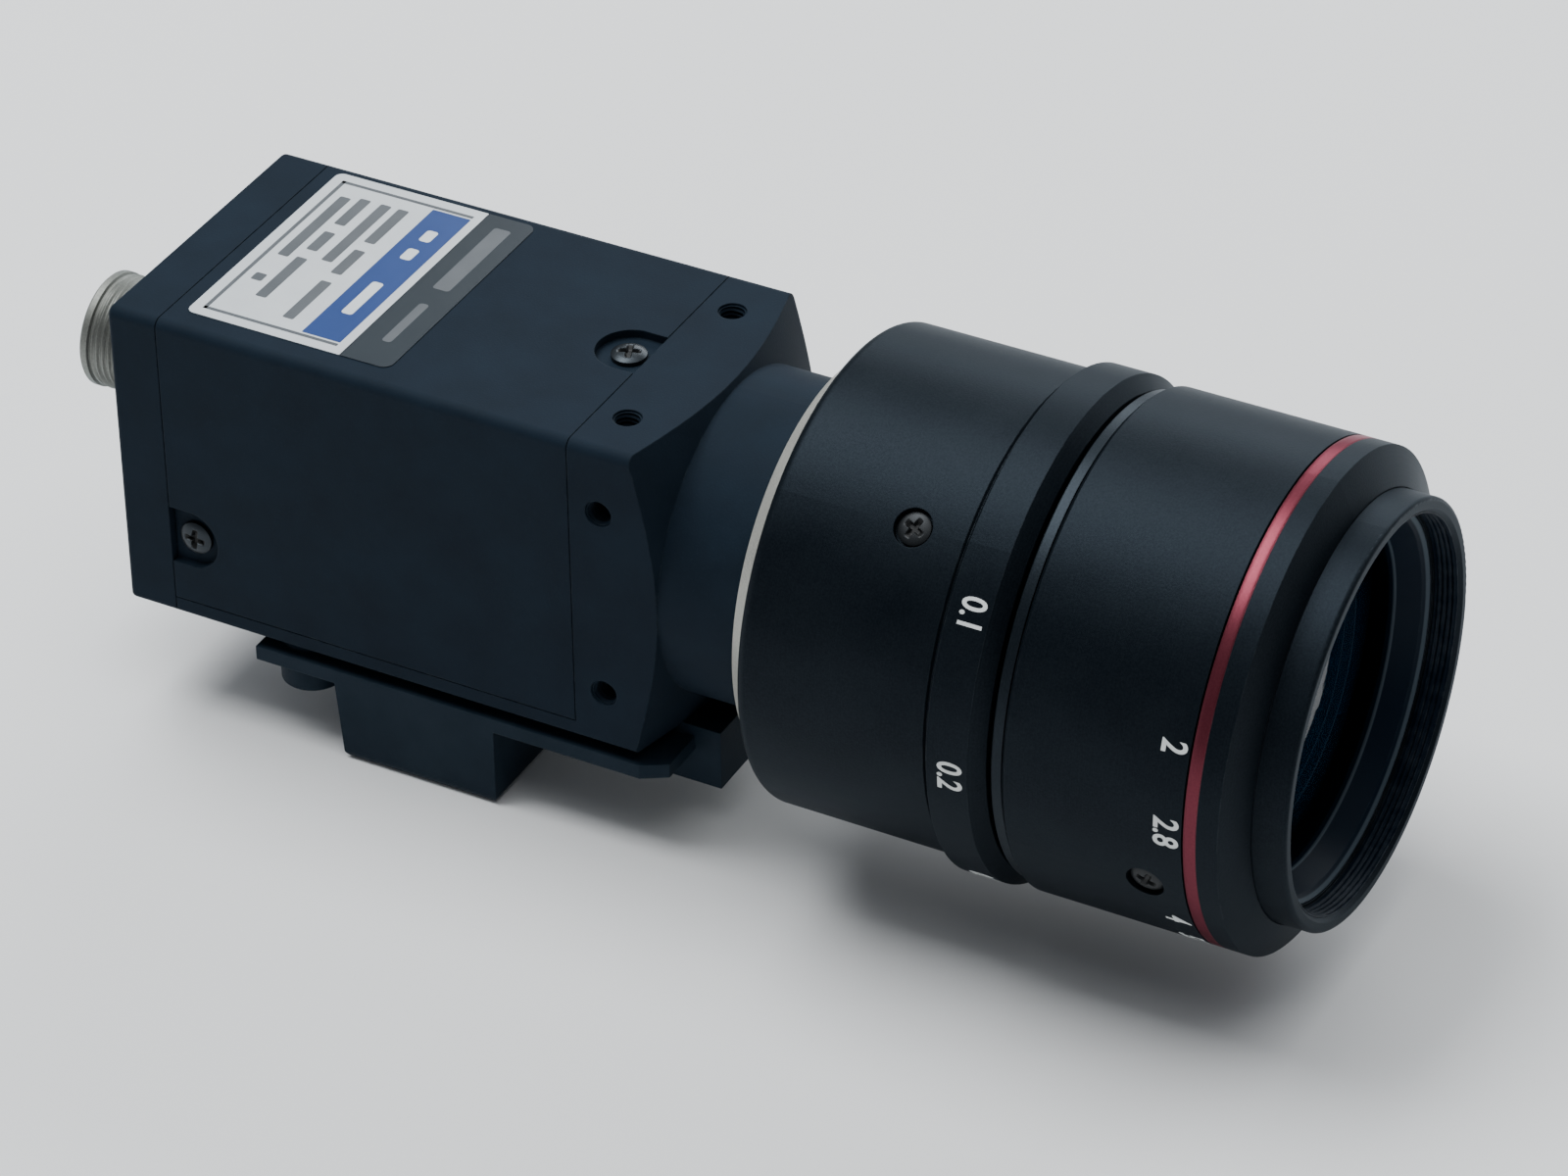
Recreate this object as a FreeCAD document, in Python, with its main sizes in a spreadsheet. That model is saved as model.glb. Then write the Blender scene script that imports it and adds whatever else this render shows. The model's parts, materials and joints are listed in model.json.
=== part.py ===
"""Machine vision camera: a square camera head with a large manual lens, on an insulating mounting foot.

The document's frame has its origin on the tripod thread at the foot's underside, +X along the optical
axis towards the scene, and +Z up. Inside each piece, X is measured from the rear face of the front
housing's block (the front seam of the cover) and the other two axes from the optical axis.
"""
import FreeCAD, Part
import math
import os
import re

import Sketcher

Vector = FreeCAD.Vector

# ---------------------------------------------------------------------------------------------------
# Driving sizes, in millimetres and degrees
# ---------------------------------------------------------------------------------------------------
SIZES = {
    # Where the camera stands over its tripod thread
    "axis_height": 41.5,         # optical axis above the foot's underside
    "seam_ahead": 26.6,          # front seam ahead of the tripod thread
    # Camera head: outer form
    "body_width": 47.6,
    "body_height": 49.4,
    "cover_length": 65.6,        # front seam to rear seam
    "rear_depth": 8.0,           # rear cover, rear seam to rear face
    "seam_gap": 0.15,            # open line between the cover and its neighbours
    "cover_wall": 2.2,
    "base_thick": 2.6,
    "edge_round": 1.5,           # upper long edges
    "base_round": 0.9,           # lower long edges
    "rear_round": 0.8,           # edges of the rear face
    # Camera head: front block and lens neck
    "neck_start": 13.4,
    "neck_front": 27.8,
    "neck_inset": 0.15,          # how far the neck keeps inside the head's sides
    "neck_wall": 2.65,
    "shoulder_ratio": 0.385,     # how far the turned shoulder falls back for each millimetre of radius
    "throat_step": 2.5,          # from the lens thread in to the throat
    "chamber_step": 1.0,         # from the throat in to the sensor chamber
    "chamber_depth": 8.0,
    "window_inset": 2.4,         # from the throat in to the window's edge
    "window_rim": 1.6,           # width of the window's edge that is held
    "window_ledge": 1.0,
    "window_thick": 1.8,
    "window_seal_thick": 0.4,
    "window_ring_thick": 1.3,
    "mount_thread_start": 19.0,
    "mount_hole_spacing": 30.0,  # M4 holes on each side of the front block
    "mount_hole_ahead": 4.6,
    "mount_hole_radius": 2.05,
    "mount_hole_depth": 5.0,
    "side_hole_drop": 0.8,       # middle of the side holes below the optical axis
    # Camera head: screws of the covers
    "tongue_length": 9.5,
    "tongue_half_width": 7.0,
    "tongue_thick": 3.8,
    "dimple_depth": 1.3,
    "dimple_half": 5.0,          # half the width of the round-ended pocket under a cover screw
    "top_screw_back": 3.5,       # top cover screw behind the front seam
    "side_screw_inset": 3.7,     # side cover screws ahead of the rear seam
    "side_screw_drop": 11.1,     # side cover screws below the optical axis
    "side_pocket_radius": 4.65,
    "cover_head_radius": 2.55,
    "cover_head_height": 1.15,
    "cover_shank_radius": 1.2,
    "cover_shank_length": 4.3,
    "thread_clear": 0.05,        # radial room between a shank and its threaded hole
    "screw_clear": 0.35,         # radial room between a shank and a clearance hole
    "ear_length": 7.6,
    "ear_thick": 4.3,
    "ear_rise": 3.6,             # ear's top above the side cover screws
    "corner_inset": 4.85,        # rear cover's screws in from the head's outside
    "corner_boss_radius": 2.9,
    "corner_shank_radius": 1.0,
    "corner_shank_length": 10.8,
    "corner_head_radius": 2.2,
    "corner_head_height": 1.3,
    "corner_sink_radius": 2.6,
    "corner_sink_depth": 1.5,
    # Rear connector
    "connector_rise": 3.0,       # connector axis above the optical axis
    "connector_radius": 8.6,
    "connector_wall": 1.6,
    "connector_reach": 16.0,     # shell beyond the rear cover's gasket
    "connector_neck_step": 1.4,  # from the shell in to its neck
    "connector_neck_wall": 1.0,
    "connector_neck_clear": 0.1,
    "gasket_thick": 0.4,
    "nut_thick": 1.8,
    "nut_width": 2.5,            # from the neck out to the nut's flats
    "insert_depth": 4.5,
    "insert_tail": 5.0,
    "pin_radius": 0.5,
    "pin_reach": 6.0,            # contact pins beyond the insert's face
    "pin_ring_inset": 2.5,       # outer ring of pins in from the shell's bore
    "pin_ring_step": 2.8,        # inner ring of pins in from the outer
    "pin_clear": 0.02,
    # Boards and image sensor
    "board_room": 14.6,          # what the boards leave free across the head
    "board_thick": 1.6,
    "board_overhang": 1.0,       # last board's back behind the rear seam
    "board_hole_radius": 1.15,
    "post_inset": 2.5,           # posts and standoffs in from the boards' edges
    "post_radius": 1.9,
    "post_length": 2.0,
    "stud_radius": 1.0,
    "stud_length": 3.2,
    "stud_hole_depth": 4.0,
    "standoff_flat_radius": 2.2,
    "board_head_radius": 1.8,
    "board_head_height": 1.2,
    "header_end_inset": 6.5,     # stacking headers in from the boards' edges
    "header_edge_inset": 4.0,
    "header_width": 3.5,
    "sensor_inset": 4.5,
    "sensor_thick": 2.5,
    "sensor_rim": 2.0,
    "sensor_glass_thick": 0.7,
    "chip_inset": 9.5,
    "chip_thick": 1.6,
    "memory_width": 8.0,
    "memory_trim": 3.0,          # how much shorter the memory chips are than the processor
    "memory_thick": 1.1,
    # Labels on the cover's top
    "label_margin": 2.4,         # sticker ahead of the rear seam
    "label_length": 24.9,
    "label_side_margin": 3.2,
    "label_shift": 1.1,          # labels' middle to the far side
    "label_round": 1.2,
    "label_gap": 0.15,
    "strip_length": 7.9,
    "strip_round": 1.6,
    "label_thick": 0.12,
    # Mounting foot
    "plate_gap": 1.8,            # air between the base and the foot's plate
    "plate_thick": 2.25,
    "plate_margin": 5.6,         # plate behind its rear screws
    "plate_corner_long": 3.6,
    "plate_corner_wide": 2.2,
    "foot_behind": 13.1,         # foot behind the tripod thread
    "foot_before": 13.0,         # foot ahead of the tripod thread
    "foot_rake": 1.2,            # how far the foot's rear face leans in at the bottom
    "foot_round": 1.4,
    "relief_wall": 3.2,
    "relief_rib": 7.0,           # half the width of the solid rib round the tripod thread
    "relief_roof": 5.25,         # solid left over the reliefs
    "lug_length": 8.5,
    "lug_overhang": 4.1,         # lug ahead of the plate
    "lug_side_inset": 9.6,
    "lug_height": 9.6,           # lug's lower face below the base
    "foot_screw_behind": 7.3,    # rear screws behind the foot
    "foot_screw_inset": 6.2,     # rear screws in from the head's sides
    "foot_screw_bite": 4.55,     # how far the screws reach into the base
    "foot_boss_radius": 4.4,
    "base_boss_radius": 3.6,
    "base_boss_height": 2.4,
    "foot_shank_radius": 2.0,
    "foot_head_radius": 3.5,
    "foot_head_height": 4.0,
    "foot_head_room": 1.0,       # front screws' heads behind the lug
    "foot_cup_radius": 4.7,      # cups under the plate round the rear screws' heads
    "foot_cup_depth": 4.4,
    "foot_hex_radius": 1.5,      # half the distance across the flats of the socket
    "foot_hex_depth": 2.2,
    "insert_outer_radius": 4.5,
    "insert_thread_radius": 2.6,
    "insert_roof": 2.75,         # solid left over the thread insert
    # Lens: outer form, radii
    "lens_radius": 35.5,         # iris ring, red ring and nose
    "band_rise": 0.45,           # scale band over the lens radius
    "focus_step": 1.1,           # focus ring under the lens radius
    "focus_front_step": 0.4,
    "focus_wall": 3.4,
    "iris_wall": 3.5,
    "run_clear": 0.05,           # radial running clearance of the turning and sliding rings
    "nose_rim": 5.2,             # from the lens radius in to the lip
    "lip_clear": 0.1,
    "lip_wall": 2.2,
    # Lens: fixed pieces
    "flange_thick": 2.7,
    "flange_slope": 2.7,         # how much the mount ring widens towards the lens
    "flange_rim": 0.85,          # mount ring over the core tube
    "spigot_clear": 0.1,
    "spigot_length": 8.3,
    "spigot_wall": 3.0,
    "core_wall": 3.45,
    "core_end_wall": 2.0,
    "core_end_clear": 0.3,       # core tube short of the focus ring's lip
    # Lens: focus ring
    "focus_gap": 0.4,            # between the mount ring and the focus ring
    "focus_length": 28.3,        # to the foot of the scale band
    "focus_rim_round": 1.5,
    "band_slope": 1.3,
    "band_length": 6.0,
    "focus_brow": 1.9,           # slope ahead of the band
    "focus_lip_thick": 1.6,
    "focus_lip_clear": 1.1,      # room between the ring's lip and the barrel's bearing
    "focus_travel": 6.0,         # how far the optics move out
    "focus_turn_range": 150.0,
    "focus_screw_turn": 40.7,    # lock screws, about the axis from straight up
    "focus_screw_from_start": 20.8,
    "lock_head_radius": 2.35,
    "lock_head_height": 0.9,
    "lock_sink_radius": 2.75,
    "lock_sink_depth": 1.2,
    "lock_shank_radius": 1.2,
    "lock_shank_clear": 0.1,
    "lock_tip_clear": 0.2,
    # Lens: sliding barrel
    "barrel_set_back": 5.5,      # barrel's rear end ahead of the mount ring
    "barrel_flange_gap": 0.8,
    "barrel_flange_thick": 1.6,
    "barrel_flange_step": 1.05,  # flange under the lens radius
    "barrel_flange_chamfer": 0.2,
    "barrel_wall": 2.95,
    "seat_step": 0.95,
    "middle_wall": 5.45,
    "rear_wall": 9.45,
    "ledge_step": 2.0,
    "ledge_thick": 1.5,
    "guide_pin_from_flange": 21.5,
    "guide_pin_radius": 1.5,
    "guide_pin_root": 2.45,      # how far the pin sits in the barrel
    "guide_tip_clear": 0.25,
    "guide_clear": 0.12,
    "groove_depth": 1.95,
    "groove_overrun": 4.0,       # how far the cam groove turns on past the pin at each end
    # Lens: iris
    "iris_gap": 0.4,
    "iris_length": 26.1,
    "iris_turn_range": 50.0,
    "iris_screw_turn": 108.1,
    "iris_screw_from_front": 5.7,
    "iris_rim_chamfer": 0.5,
    "iris_floor_step": 1.3,      # iris plate's seat ahead of the iris ring's rear
    "blade_thick": 0.14,
    "blade_pitch": 0.3,
    "aperture_wall": 14.0,       # from the barrel's bore in to the iris opening
    "blade_overlap": 1.0,
    "blade_room": 5.0,           # from the barrel's bore in to the blades
    "blade_arc": 130.0,
    "blade_swing_angle": 20.0,
    "blade_pivot_inset": 2.4,
    "blade_pin_radius": 0.7,
    "blade_pin_clear": 0.1,
    "drive_reach": 3.35,         # drive pin from the pivot, and which way it lies from there
    "drive_angle": -111.0,
    "iris_base_thick": 1.6,
    "blade_gap": 0.2,
    "cam_thick": 2.2,
    "cam_clear": 0.06,
    "cover_ring_thick": 1.1,
    "drive_pin_radius": 0.8,
    "drive_pin_reach": 2.25,     # drive pin beyond the barrel's bearing
    "drive_pin_root": 1.1,       # how far it sits in the cam ring
    "drive_slot_clear": 0.25,
    # Lens: glass and front pieces
    "glass_clear": 0.05,
    "retainer_width": 2.5,       # width of the rings that hold the rear and middle glass
    "retainer_thick": 2.5,
    "rear_glass_thick": 8.0,
    "middle_glass_thick": 9.0,
    "middle_glass_hollow": 1.5,
    "spacer_wall": 3.0,
    "front_glass_set_back": 7.0, # front glass's edge behind the barrel's front
    "front_glass_thick": 5.5,
    "front_glass_rise": 4.0,
    "front_glass_hollow": 1.0,
    "front_glass_rim": 1.4,
    "glass_pole_radius": 1.5,    # small flat at the middle of each curved face
    "front_ring_set_back": 2.6,
    "front_ring_shoulder_reach": 0.7,
    "front_ring_mouth_wall": 1.1,
    "front_ring_wall": 2.8,
    "red_gap": 0.3,
    "red_thick": 1.8,
    "nose_length": 3.05,         # red ring to the nose's corner
    "nose_slope": 2.5,
    "nose_seat_set_back": 0.95,
    "lip_length": 5.8,
    "lip_thread_start": 1.6,
    "lip_seat_step": 0.5,
    "lip_round": 0.6,
}

# How many there are of each repeated thing
BLADE_COUNT = 6
BOARD_NAMES = ("sensor_board", "processor_board", "memory_board", "interface_board")
OUTER_PIN_COUNT = 9
INNER_PIN_COUNT = 3
CAM_STEP_COUNT = 8

# Levels worked out from the driving sizes, as formulas
HALF_WIDTH = "(body_width / 2)"
HALF_HEIGHT = "(body_height / 2)"
BASE_TOP = f"(base_thick - {HALF_HEIGHT})"
INNER_WIDTH = f"({HALF_WIDTH} - cover_wall)"
INNER_TOP = f"({HALF_HEIGHT} - cover_wall)"
REAR_SEAM = "(-cover_length)"
REAR_FACE = "(-cover_length - rear_depth)"
REAR_WALL = f"({REAR_FACE} + cover_wall)"
PLATE_TOP = f"(-{HALF_HEIGHT} - plate_gap)"
PLATE_BOTTOM = f"({PLATE_TOP} - plate_thick)"
FOOT_DEPTH = f"(axis_height + {PLATE_BOTTOM})"
FLANGE_FRONT = "(neck_front + flange_thick)"
CORE_BORE = "(core_radius - core_wall)"
BARREL_RADIUS = f"({CORE_BORE} - run_clear)"
WINDOW_BACK = "(chamber_depth + window_ledge)"
WINDOW_FRONT = f"({WINDOW_BACK} + window_seal_thick + window_thick + window_ring_thick)"
BLADES_BACK = "(iris_floor + iris_base_thick + blade_gap)"
BLADES_FRONT = f"({BLADES_BACK} + {BLADE_COUNT} * blade_pitch)"
CAM_BACK = f"({BLADES_FRONT} + blade_gap)"
CAM_MIDDLE = f"({CAM_BACK} + cam_thick / 2)"
CAM_FRONT = f"({CAM_BACK} + cam_thick)"
COVER_RING_BACK = f"({CAM_FRONT} + blade_gap)"
COVER_RING_FRONT = f"({COVER_RING_BACK} + cover_ring_thick)"
BARREL_TURN = "(iris_screw_turn - 180 + iris_turn_range / 2)"
LAST_BOARD = f"(-post_length - board_thick - {len(BOARD_NAMES) - 1} * board_pitch)"

# Sizes that follow from the driving sizes; a formula may use these names as it uses the sheet's
FOLLOWING = {
    # Camera head
    "neck_radius": "min(body_width; body_height) / 2 - neck_inset",
    "mount_thread_radius": "neck_radius - neck_wall",
    "throat_radius": "mount_thread_radius - throat_step",
    "chamber_radius": "throat_radius - chamber_step",
    "window_radius": "throat_radius - window_inset",
    "window_aperture": "window_radius - window_rim",
    "side_screw_back": "cover_length - side_screw_inset",
    "ear_inner": f"{INNER_WIDTH} - ear_thick",
    "ear_height": f"{HALF_HEIGHT} - base_thick - side_screw_drop + ear_rise",
    "corner_screw_y": f"{HALF_WIDTH} - corner_inset",
    "corner_screw_z": f"{HALF_HEIGHT} - corner_inset",
    "connector_bore": "connector_radius - connector_wall",
    "connector_neck_radius": "connector_radius - connector_neck_step",
    "connector_neck_bore": "connector_neck_radius - connector_neck_wall",
    "nut_flat_radius": "connector_neck_radius + nut_width",
    "pin_ring_radius": "connector_bore - pin_ring_inset",
    "pin_core_radius": "pin_ring_radius - pin_ring_step",
    "board_size": "min(body_width; body_height) - board_room",
    "board_pitch": f"(cover_length + board_overhang - post_length - board_thick) / {len(BOARD_NAMES) - 1}",
    "post_spread": "board_size / 2 - post_inset",
    "header_half_width": "board_size / 2 - header_end_inset",
    "header_high": "board_size / 2 - header_edge_inset",
    "header_low": "header_high - header_width",
    "sensor_size": "board_size - 2 * sensor_inset",
    "sensor_glass_size": "sensor_size - 2 * sensor_rim",
    "chip_size": "board_size - 2 * chip_inset",
    "memory_height": "chip_size - memory_trim",
    "memory_spread": "header_half_width - memory_width / 4",
    "label_back": "cover_length - label_margin",
    "label_front": "label_back - label_length",
    "label_half_width": f"{HALF_WIDTH} - label_side_margin",
    "strip_back": "label_front - label_gap",
    "strip_front": "label_front - strip_length",
    # Mounting foot
    "foot_back": "seam_ahead + foot_behind",
    "foot_front": "seam_ahead - foot_before",
    "relief_depth": f"{FOOT_DEPTH} - relief_roof",
    "insert_length": f"{FOOT_DEPTH} - insert_roof",
    "rear_foot_screw": "foot_back + foot_screw_behind",
    "rear_foot_spread": f"{HALF_WIDTH} - foot_screw_inset",
    "foot_shank_length": "plate_gap + plate_thick + foot_screw_bite",
    "plate_back": "rear_foot_screw + plate_margin",
    "lug_back": "mount_hole_ahead + foot_head_radius + foot_head_room",
    "lug_front": "lug_back + lug_length",
    "plate_front": "lug_front - lug_overhang",
    "lug_half_width": f"{HALF_WIDTH} - lug_side_inset",
    "lug_drop": f"{HALF_HEIGHT} + lug_height",
    # Lens: radii
    "iris_ring_radius": "lens_radius",
    "nose_radius": "lens_radius",
    "band_radius": "lens_radius + band_rise",
    "focus_radius": "lens_radius - focus_step",
    "focus_front_radius": "focus_radius - focus_front_step",
    "focus_bore": "focus_radius - focus_wall",
    "core_radius": "focus_bore - run_clear",
    "focus_lip_radius": f"{CORE_BORE} + focus_lip_clear",
    "flange_front_radius": "core_radius + flange_rim",
    "flange_back_radius": "flange_front_radius - flange_slope",
    "spigot_bore": "mount_thread_radius - spigot_wall",
    "iris_ring_bore": "lens_radius - iris_wall",
    "bearing_radius": "iris_ring_bore - run_clear",
    "seat_radius": "bearing_radius - seat_step",
    "iris_bore": "bearing_radius - barrel_wall",
    "barrel_flange_radius": "lens_radius - barrel_flange_step",
    "middle_bore": f"{BARREL_RADIUS} - middle_wall",
    "rear_bore": f"{BARREL_RADIUS} - rear_wall",
    "ledge_bore": "rear_bore - ledge_step",
    "guide_groove_radius": "focus_bore + groove_depth",
    "guide_pin_top": "guide_groove_radius - guide_tip_clear",
    "guide_pin_foot": f"{BARREL_RADIUS} - guide_pin_root",
    "iris_aperture": "iris_bore - aperture_wall",
    "blade_inner": "iris_aperture - blade_overlap",
    "blade_outer": "iris_bore - blade_room",
    "blade_pivot": "iris_bore - blade_pivot_inset",
    "drive_pin_top": "bearing_radius + drive_pin_reach",
    "drive_pin_foot": "iris_bore - drive_pin_root",
    "spacer_bore": "iris_bore - spacer_wall",
    "middle_ring_bore": "middle_bore - retainer_width",
    "rear_ring_bore": "rear_bore - retainer_width",
    "front_dome_radius": "iris_bore - front_glass_rim",
    "nose_mouth": "lens_radius - nose_rim",
    "lip_radius": "nose_mouth - lip_clear",
    "lip_bore": "lip_radius - lip_wall",
    "lip_seat_bore": "lip_bore - lip_seat_step",
    "front_ring_outer": "lip_seat_bore - lip_clear",
    "front_ring_mouth": "front_ring_outer - front_ring_mouth_wall",
    "front_ring_bore": "front_ring_outer - front_ring_wall",
    # Lens: places along the axis
    "focus_start": f"{FLANGE_FRONT} + focus_gap",
    "band_foot": "focus_start + focus_length",
    "band_start": "band_foot + band_slope",
    "band_end": "band_start + band_length",
    "focus_front": "band_end + focus_brow",
    "focus_lip_start": "focus_front - focus_lip_thick",
    "core_front": "focus_lip_start - core_end_clear",
    "focus_screw_ahead": "focus_start + focus_screw_from_start",
    "guide_pin_ahead": f"{FLANGE_FRONT} + guide_pin_from_flange",
    "barrel_back": f"{FLANGE_FRONT} + barrel_set_back",
    "rear_glass_back": "barrel_back + retainer_thick",
    "rear_ledge": "rear_glass_back + rear_glass_thick",
    "middle_ledge": "rear_ledge + ledge_thick",
    "middle_glass_front": "middle_ledge + middle_glass_thick",
    "middle_ring_front": "middle_glass_front + retainer_thick",
    "barrel_flange_start": "focus_front + barrel_flange_gap",
    "barrel_flange_front": "barrel_flange_start + barrel_flange_thick",
    "iris_ring_start": "barrel_flange_front + iris_gap",
    "iris_ring_front": "iris_ring_start + iris_length",
    "iris_floor": "iris_ring_start + iris_floor_step",
    "iris_screw_ahead": "iris_ring_front - iris_screw_from_front",
    "seat_start": "iris_ring_front + red_gap",
    "red_ring_front": "seat_start + red_thick",
    "nose_corner": "red_ring_front + nose_length",
    "nose_front": "nose_corner + nose_slope",
    "barrel_front": "nose_front - nose_seat_set_back",
    "lip_front": "barrel_front + lip_length",
    "lip_thread_back": "barrel_front + lip_thread_start",
    "front_glass_edge": "barrel_front - front_glass_set_back",
    "front_glass_back": "front_glass_edge - front_glass_thick",
    "front_glass_crown": "front_glass_edge + front_glass_rise",
    "front_ring_step": "barrel_front - front_ring_set_back",
    "front_ring_shoulder": "barrel_front + front_ring_shoulder_reach",
    "front_ring_front": "lip_thread_back - lip_clear",
}

doc = FreeCAD.newDocument("VisionCamera")


def fill_sheet():
    """Write every driving size into the document's sheet, each with its name as alias."""
    sizes_sheet = doc.addObject("Spreadsheet::Sheet", "Sizes")
    for row, (name, amount) in enumerate(SIZES.items(), start=1):
        sizes_sheet.set(f"A{row}", name)
        sizes_sheet.set(f"B{row}", str(amount))
        sizes_sheet.setAlias(f"B{row}", name)
    doc.recompute()
    return sizes_sheet


sheet = fill_sheet()
WORD = re.compile(r"[a-z][a-z0-9_]*")


def sized(formula):
    """A formula in the sheet's own cells: sizes that follow from others are spelled out."""
    def spell(word):
        name = word[0]
        if name in FOLLOWING:
            return f"({sized(FOLLOWING[name])})"
        return f"Sizes.{name}" if name in SIZES else name
    return WORD.sub(spell, str(formula))


def number(formula):
    """The present value of a formula."""
    return float(sheet.evalExpression(sized(formula)))


# ---------------------------------------------------------------------------------------------------
# Ways of making a piece
# ---------------------------------------------------------------------------------------------------
PIECES = []


def new_piece(label, turn="0", ahead="0", rise="0", loose=False):
    """A body in the lens frame, turned about the axis; a loose one may hold several like solids."""
    body = doc.addObject("PartDesign::Body", label)
    body.Label = label
    body.AllowCompound = loose
    place = f"vector(seam_ahead + {ahead}; 0; axis_height + {rise})"
    body.setExpression("Placement", sized(f"placement({place}; rotation(vector(1; 0; 0); {turn}))"))
    PIECES.append(body)
    return body


def sketch_on(body, plane, lift="0"):
    """An empty sketch on one of the body's own planes, lifted along the plane's normal."""
    sketch = body.newObject("Sketcher::SketchObject", f"{body.Name}_sketch")
    origin = {feature.Role: feature for feature in body.Origin.OriginFeatures}
    sketch.AttachmentSupport = [(origin[plane], "")]
    sketch.MapMode = "FlatFace"
    sketch.setExpression("AttachmentOffset.Base.z", sized(lift))
    return sketch


def tie_point(sketch, edge, end, along, up):
    """Tie one point of a sketch to its formulas."""
    for kind, formula in (("DistanceX", along), ("DistanceY", up)):
        row = sketch.addConstraint(Sketcher.Constraint(kind, -1, 1, edge, end, number(formula)))
        sketch.setExpression(f"Constraints[{row}]", sized(formula))


def arc_between(start, finish, radius):
    """The shorter arc from start to finish; its centre is to the left when the radius is positive."""
    chord = finish - start
    rise = math.sqrt(max(radius ** 2 - (chord.Length / 2) ** 2, 0.0))
    left = Vector(-chord.y, chord.x, 0).normalize() * math.copysign(rise, radius)
    centre = (start + finish) * 0.5 + left
    first = math.atan2(start.y - centre.y, start.x - centre.x)
    last = math.atan2(finish.y - centre.y, finish.x - centre.x)
    circle = Part.Circle(centre, Vector(0, 0, 1), abs(radius))
    return Part.ArcOfCircle(circle, first, last) if radius > 0 else Part.ArcOfCircle(circle, last, first)


def draw_loop(sketch, corners):
    """A closed outline. A corner is (along, up), with a radius after it where an arc leaves it."""
    first = sketch.GeometryCount
    count = len(corners)
    points = [Vector(number(corner[0]), number(corner[1]), 0) for corner in corners]
    radii = [corner[2] if len(corner) > 2 else None for corner in corners]
    for index, radius in enumerate(radii):
        start, finish = points[index], points[(index + 1) % count]
        if radius is None:
            sketch.addGeometry(Part.LineSegment(start, finish))
        else:
            sketch.addGeometry(arc_between(start, finish, number(radius)))
    backward = [radius is not None and number(radius) < 0 for radius in radii]
    for index in range(count):
        follower = (index + 1) % count
        leaves = 1 if backward[index] else 2
        enters = 2 if backward[follower] else 1
        sketch.addConstraint(
            Sketcher.Constraint("Coincident", first + index, leaves, first + follower, enters))
    for index, corner in enumerate(corners):
        tie_point(sketch, first + index, 2 if backward[index] else 1, corner[0], corner[1])
        if radii[index] is not None:
            size = f"abs({radii[index]})"
            row = sketch.addConstraint(Sketcher.Constraint("Radius", first + index, number(size)))
            sketch.setExpression(f"Constraints[{row}]", sized(size))


def draw_box(sketch, low, high):
    """A rectangle between two opposite corners, each (along, up)."""
    draw_loop(sketch, [low, (high[0], low[1]), high, (low[0], high[1])])


def draw_circles(sketch, centres, radius):
    """A circle of one radius at each centre."""
    for along, up in centres:
        edge = sketch.GeometryCount
        centre = Vector(number(along), number(up), 0)
        sketch.addGeometry(Part.Circle(centre, Vector(0, 0, 1), number(radius)))
        tie_point(sketch, edge, 3, along, up)
        row = sketch.addConstraint(Sketcher.Constraint("Radius", edge, number(radius)))
        sketch.setExpression(f"Constraints[{row}]", sized(radius))


def draw_hexagons(sketch, centres, flat_radius):
    """A hexagon at each centre, with two flats upright."""
    for along, up in centres:
        corners = []
        for step in range(6):
            swing = f"{60 * step + 30}"
            reach = f"({flat_radius}) / cos(30)"
            corners.append((f"{along} + {reach} * cos({swing})", f"{up} + {reach} * sin({swing})"))
        draw_loop(sketch, corners)


def draw_crosses(sketch, centres, arm, half_width):
    """A plus-shaped driver recess at each centre."""
    outline = [(arm, half_width), (half_width, half_width), (half_width, arm)]
    for along, up in centres:
        corners = []
        for quarter in range(4):
            for x, y in outline:
                for _ in range(quarter):
                    x, y = f"-({y})", x
                corners.append((f"{along} + {x}", f"{up} + {y}"))
        draw_loop(sketch, corners)


def pad(body, sketch, length, reverse=False, symmetric=False):
    """Raise a sketch along its normal by a length."""
    feature = body.newObject("PartDesign::Pad", f"{body.Name}_pad")
    feature.Profile = sketch
    feature.setExpression("Length", sized(length))
    feature.Reversed = reverse
    feature.SideType = "Symmetric" if symmetric else "One side"
    return feature


def pocket(body, sketch, depth=None, outward=False):
    """Cut a sketch against its normal by a depth, or right through; outward cuts along the normal."""
    feature = body.newObject("PartDesign::Pocket", f"{body.Name}_pocket")
    feature.Profile = sketch
    if depth is None:
        feature.Type = "ThroughAll"
    else:
        feature.setExpression("Length", sized(depth))
    feature.Reversed = outward
    return feature


def turned(body, corners):
    """A solid turned about the body's X axis from an outline of (along, radius) corners."""
    sketch = sketch_on(body, "XZ_Plane")
    draw_loop(sketch, corners)
    feature = body.newObject("PartDesign::Revolution", f"{body.Name}_turned")
    feature.Profile = sketch
    feature.ReferenceAxis = (sketch, ["H_Axis"])
    feature.Angle = 360
    return feature


def groove(body, corners, angle=None):
    """Material turned away about the body's X axis, all round or over an angle each side of +Z."""
    sketch = sketch_on(body, "XZ_Plane")
    draw_loop(sketch, corners)
    feature = body.newObject("PartDesign::Groove", f"{body.Name}_groove")
    feature.Profile = sketch
    feature.ReferenceAxis = (sketch, ["H_Axis"])
    if angle is None:
        feature.Angle = 360
    else:
        feature.Midplane = True
        feature.setExpression("Angle", sized(angle))
    return feature


def round_edges(body, chosen, radius):
    """Round those edges of the body's last feature that the test chooses."""
    doc.recompute()
    base = body.Tip
    names = [f"Edge{row}" for row, edge in enumerate(base.Shape.Edges, start=1) if chosen(edge)]
    feature = body.newObject("PartDesign::Fillet", f"{body.Name}_round")
    feature.Base = (base, names)
    feature.setExpression("Radius", sized(radius))
    return feature


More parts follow.
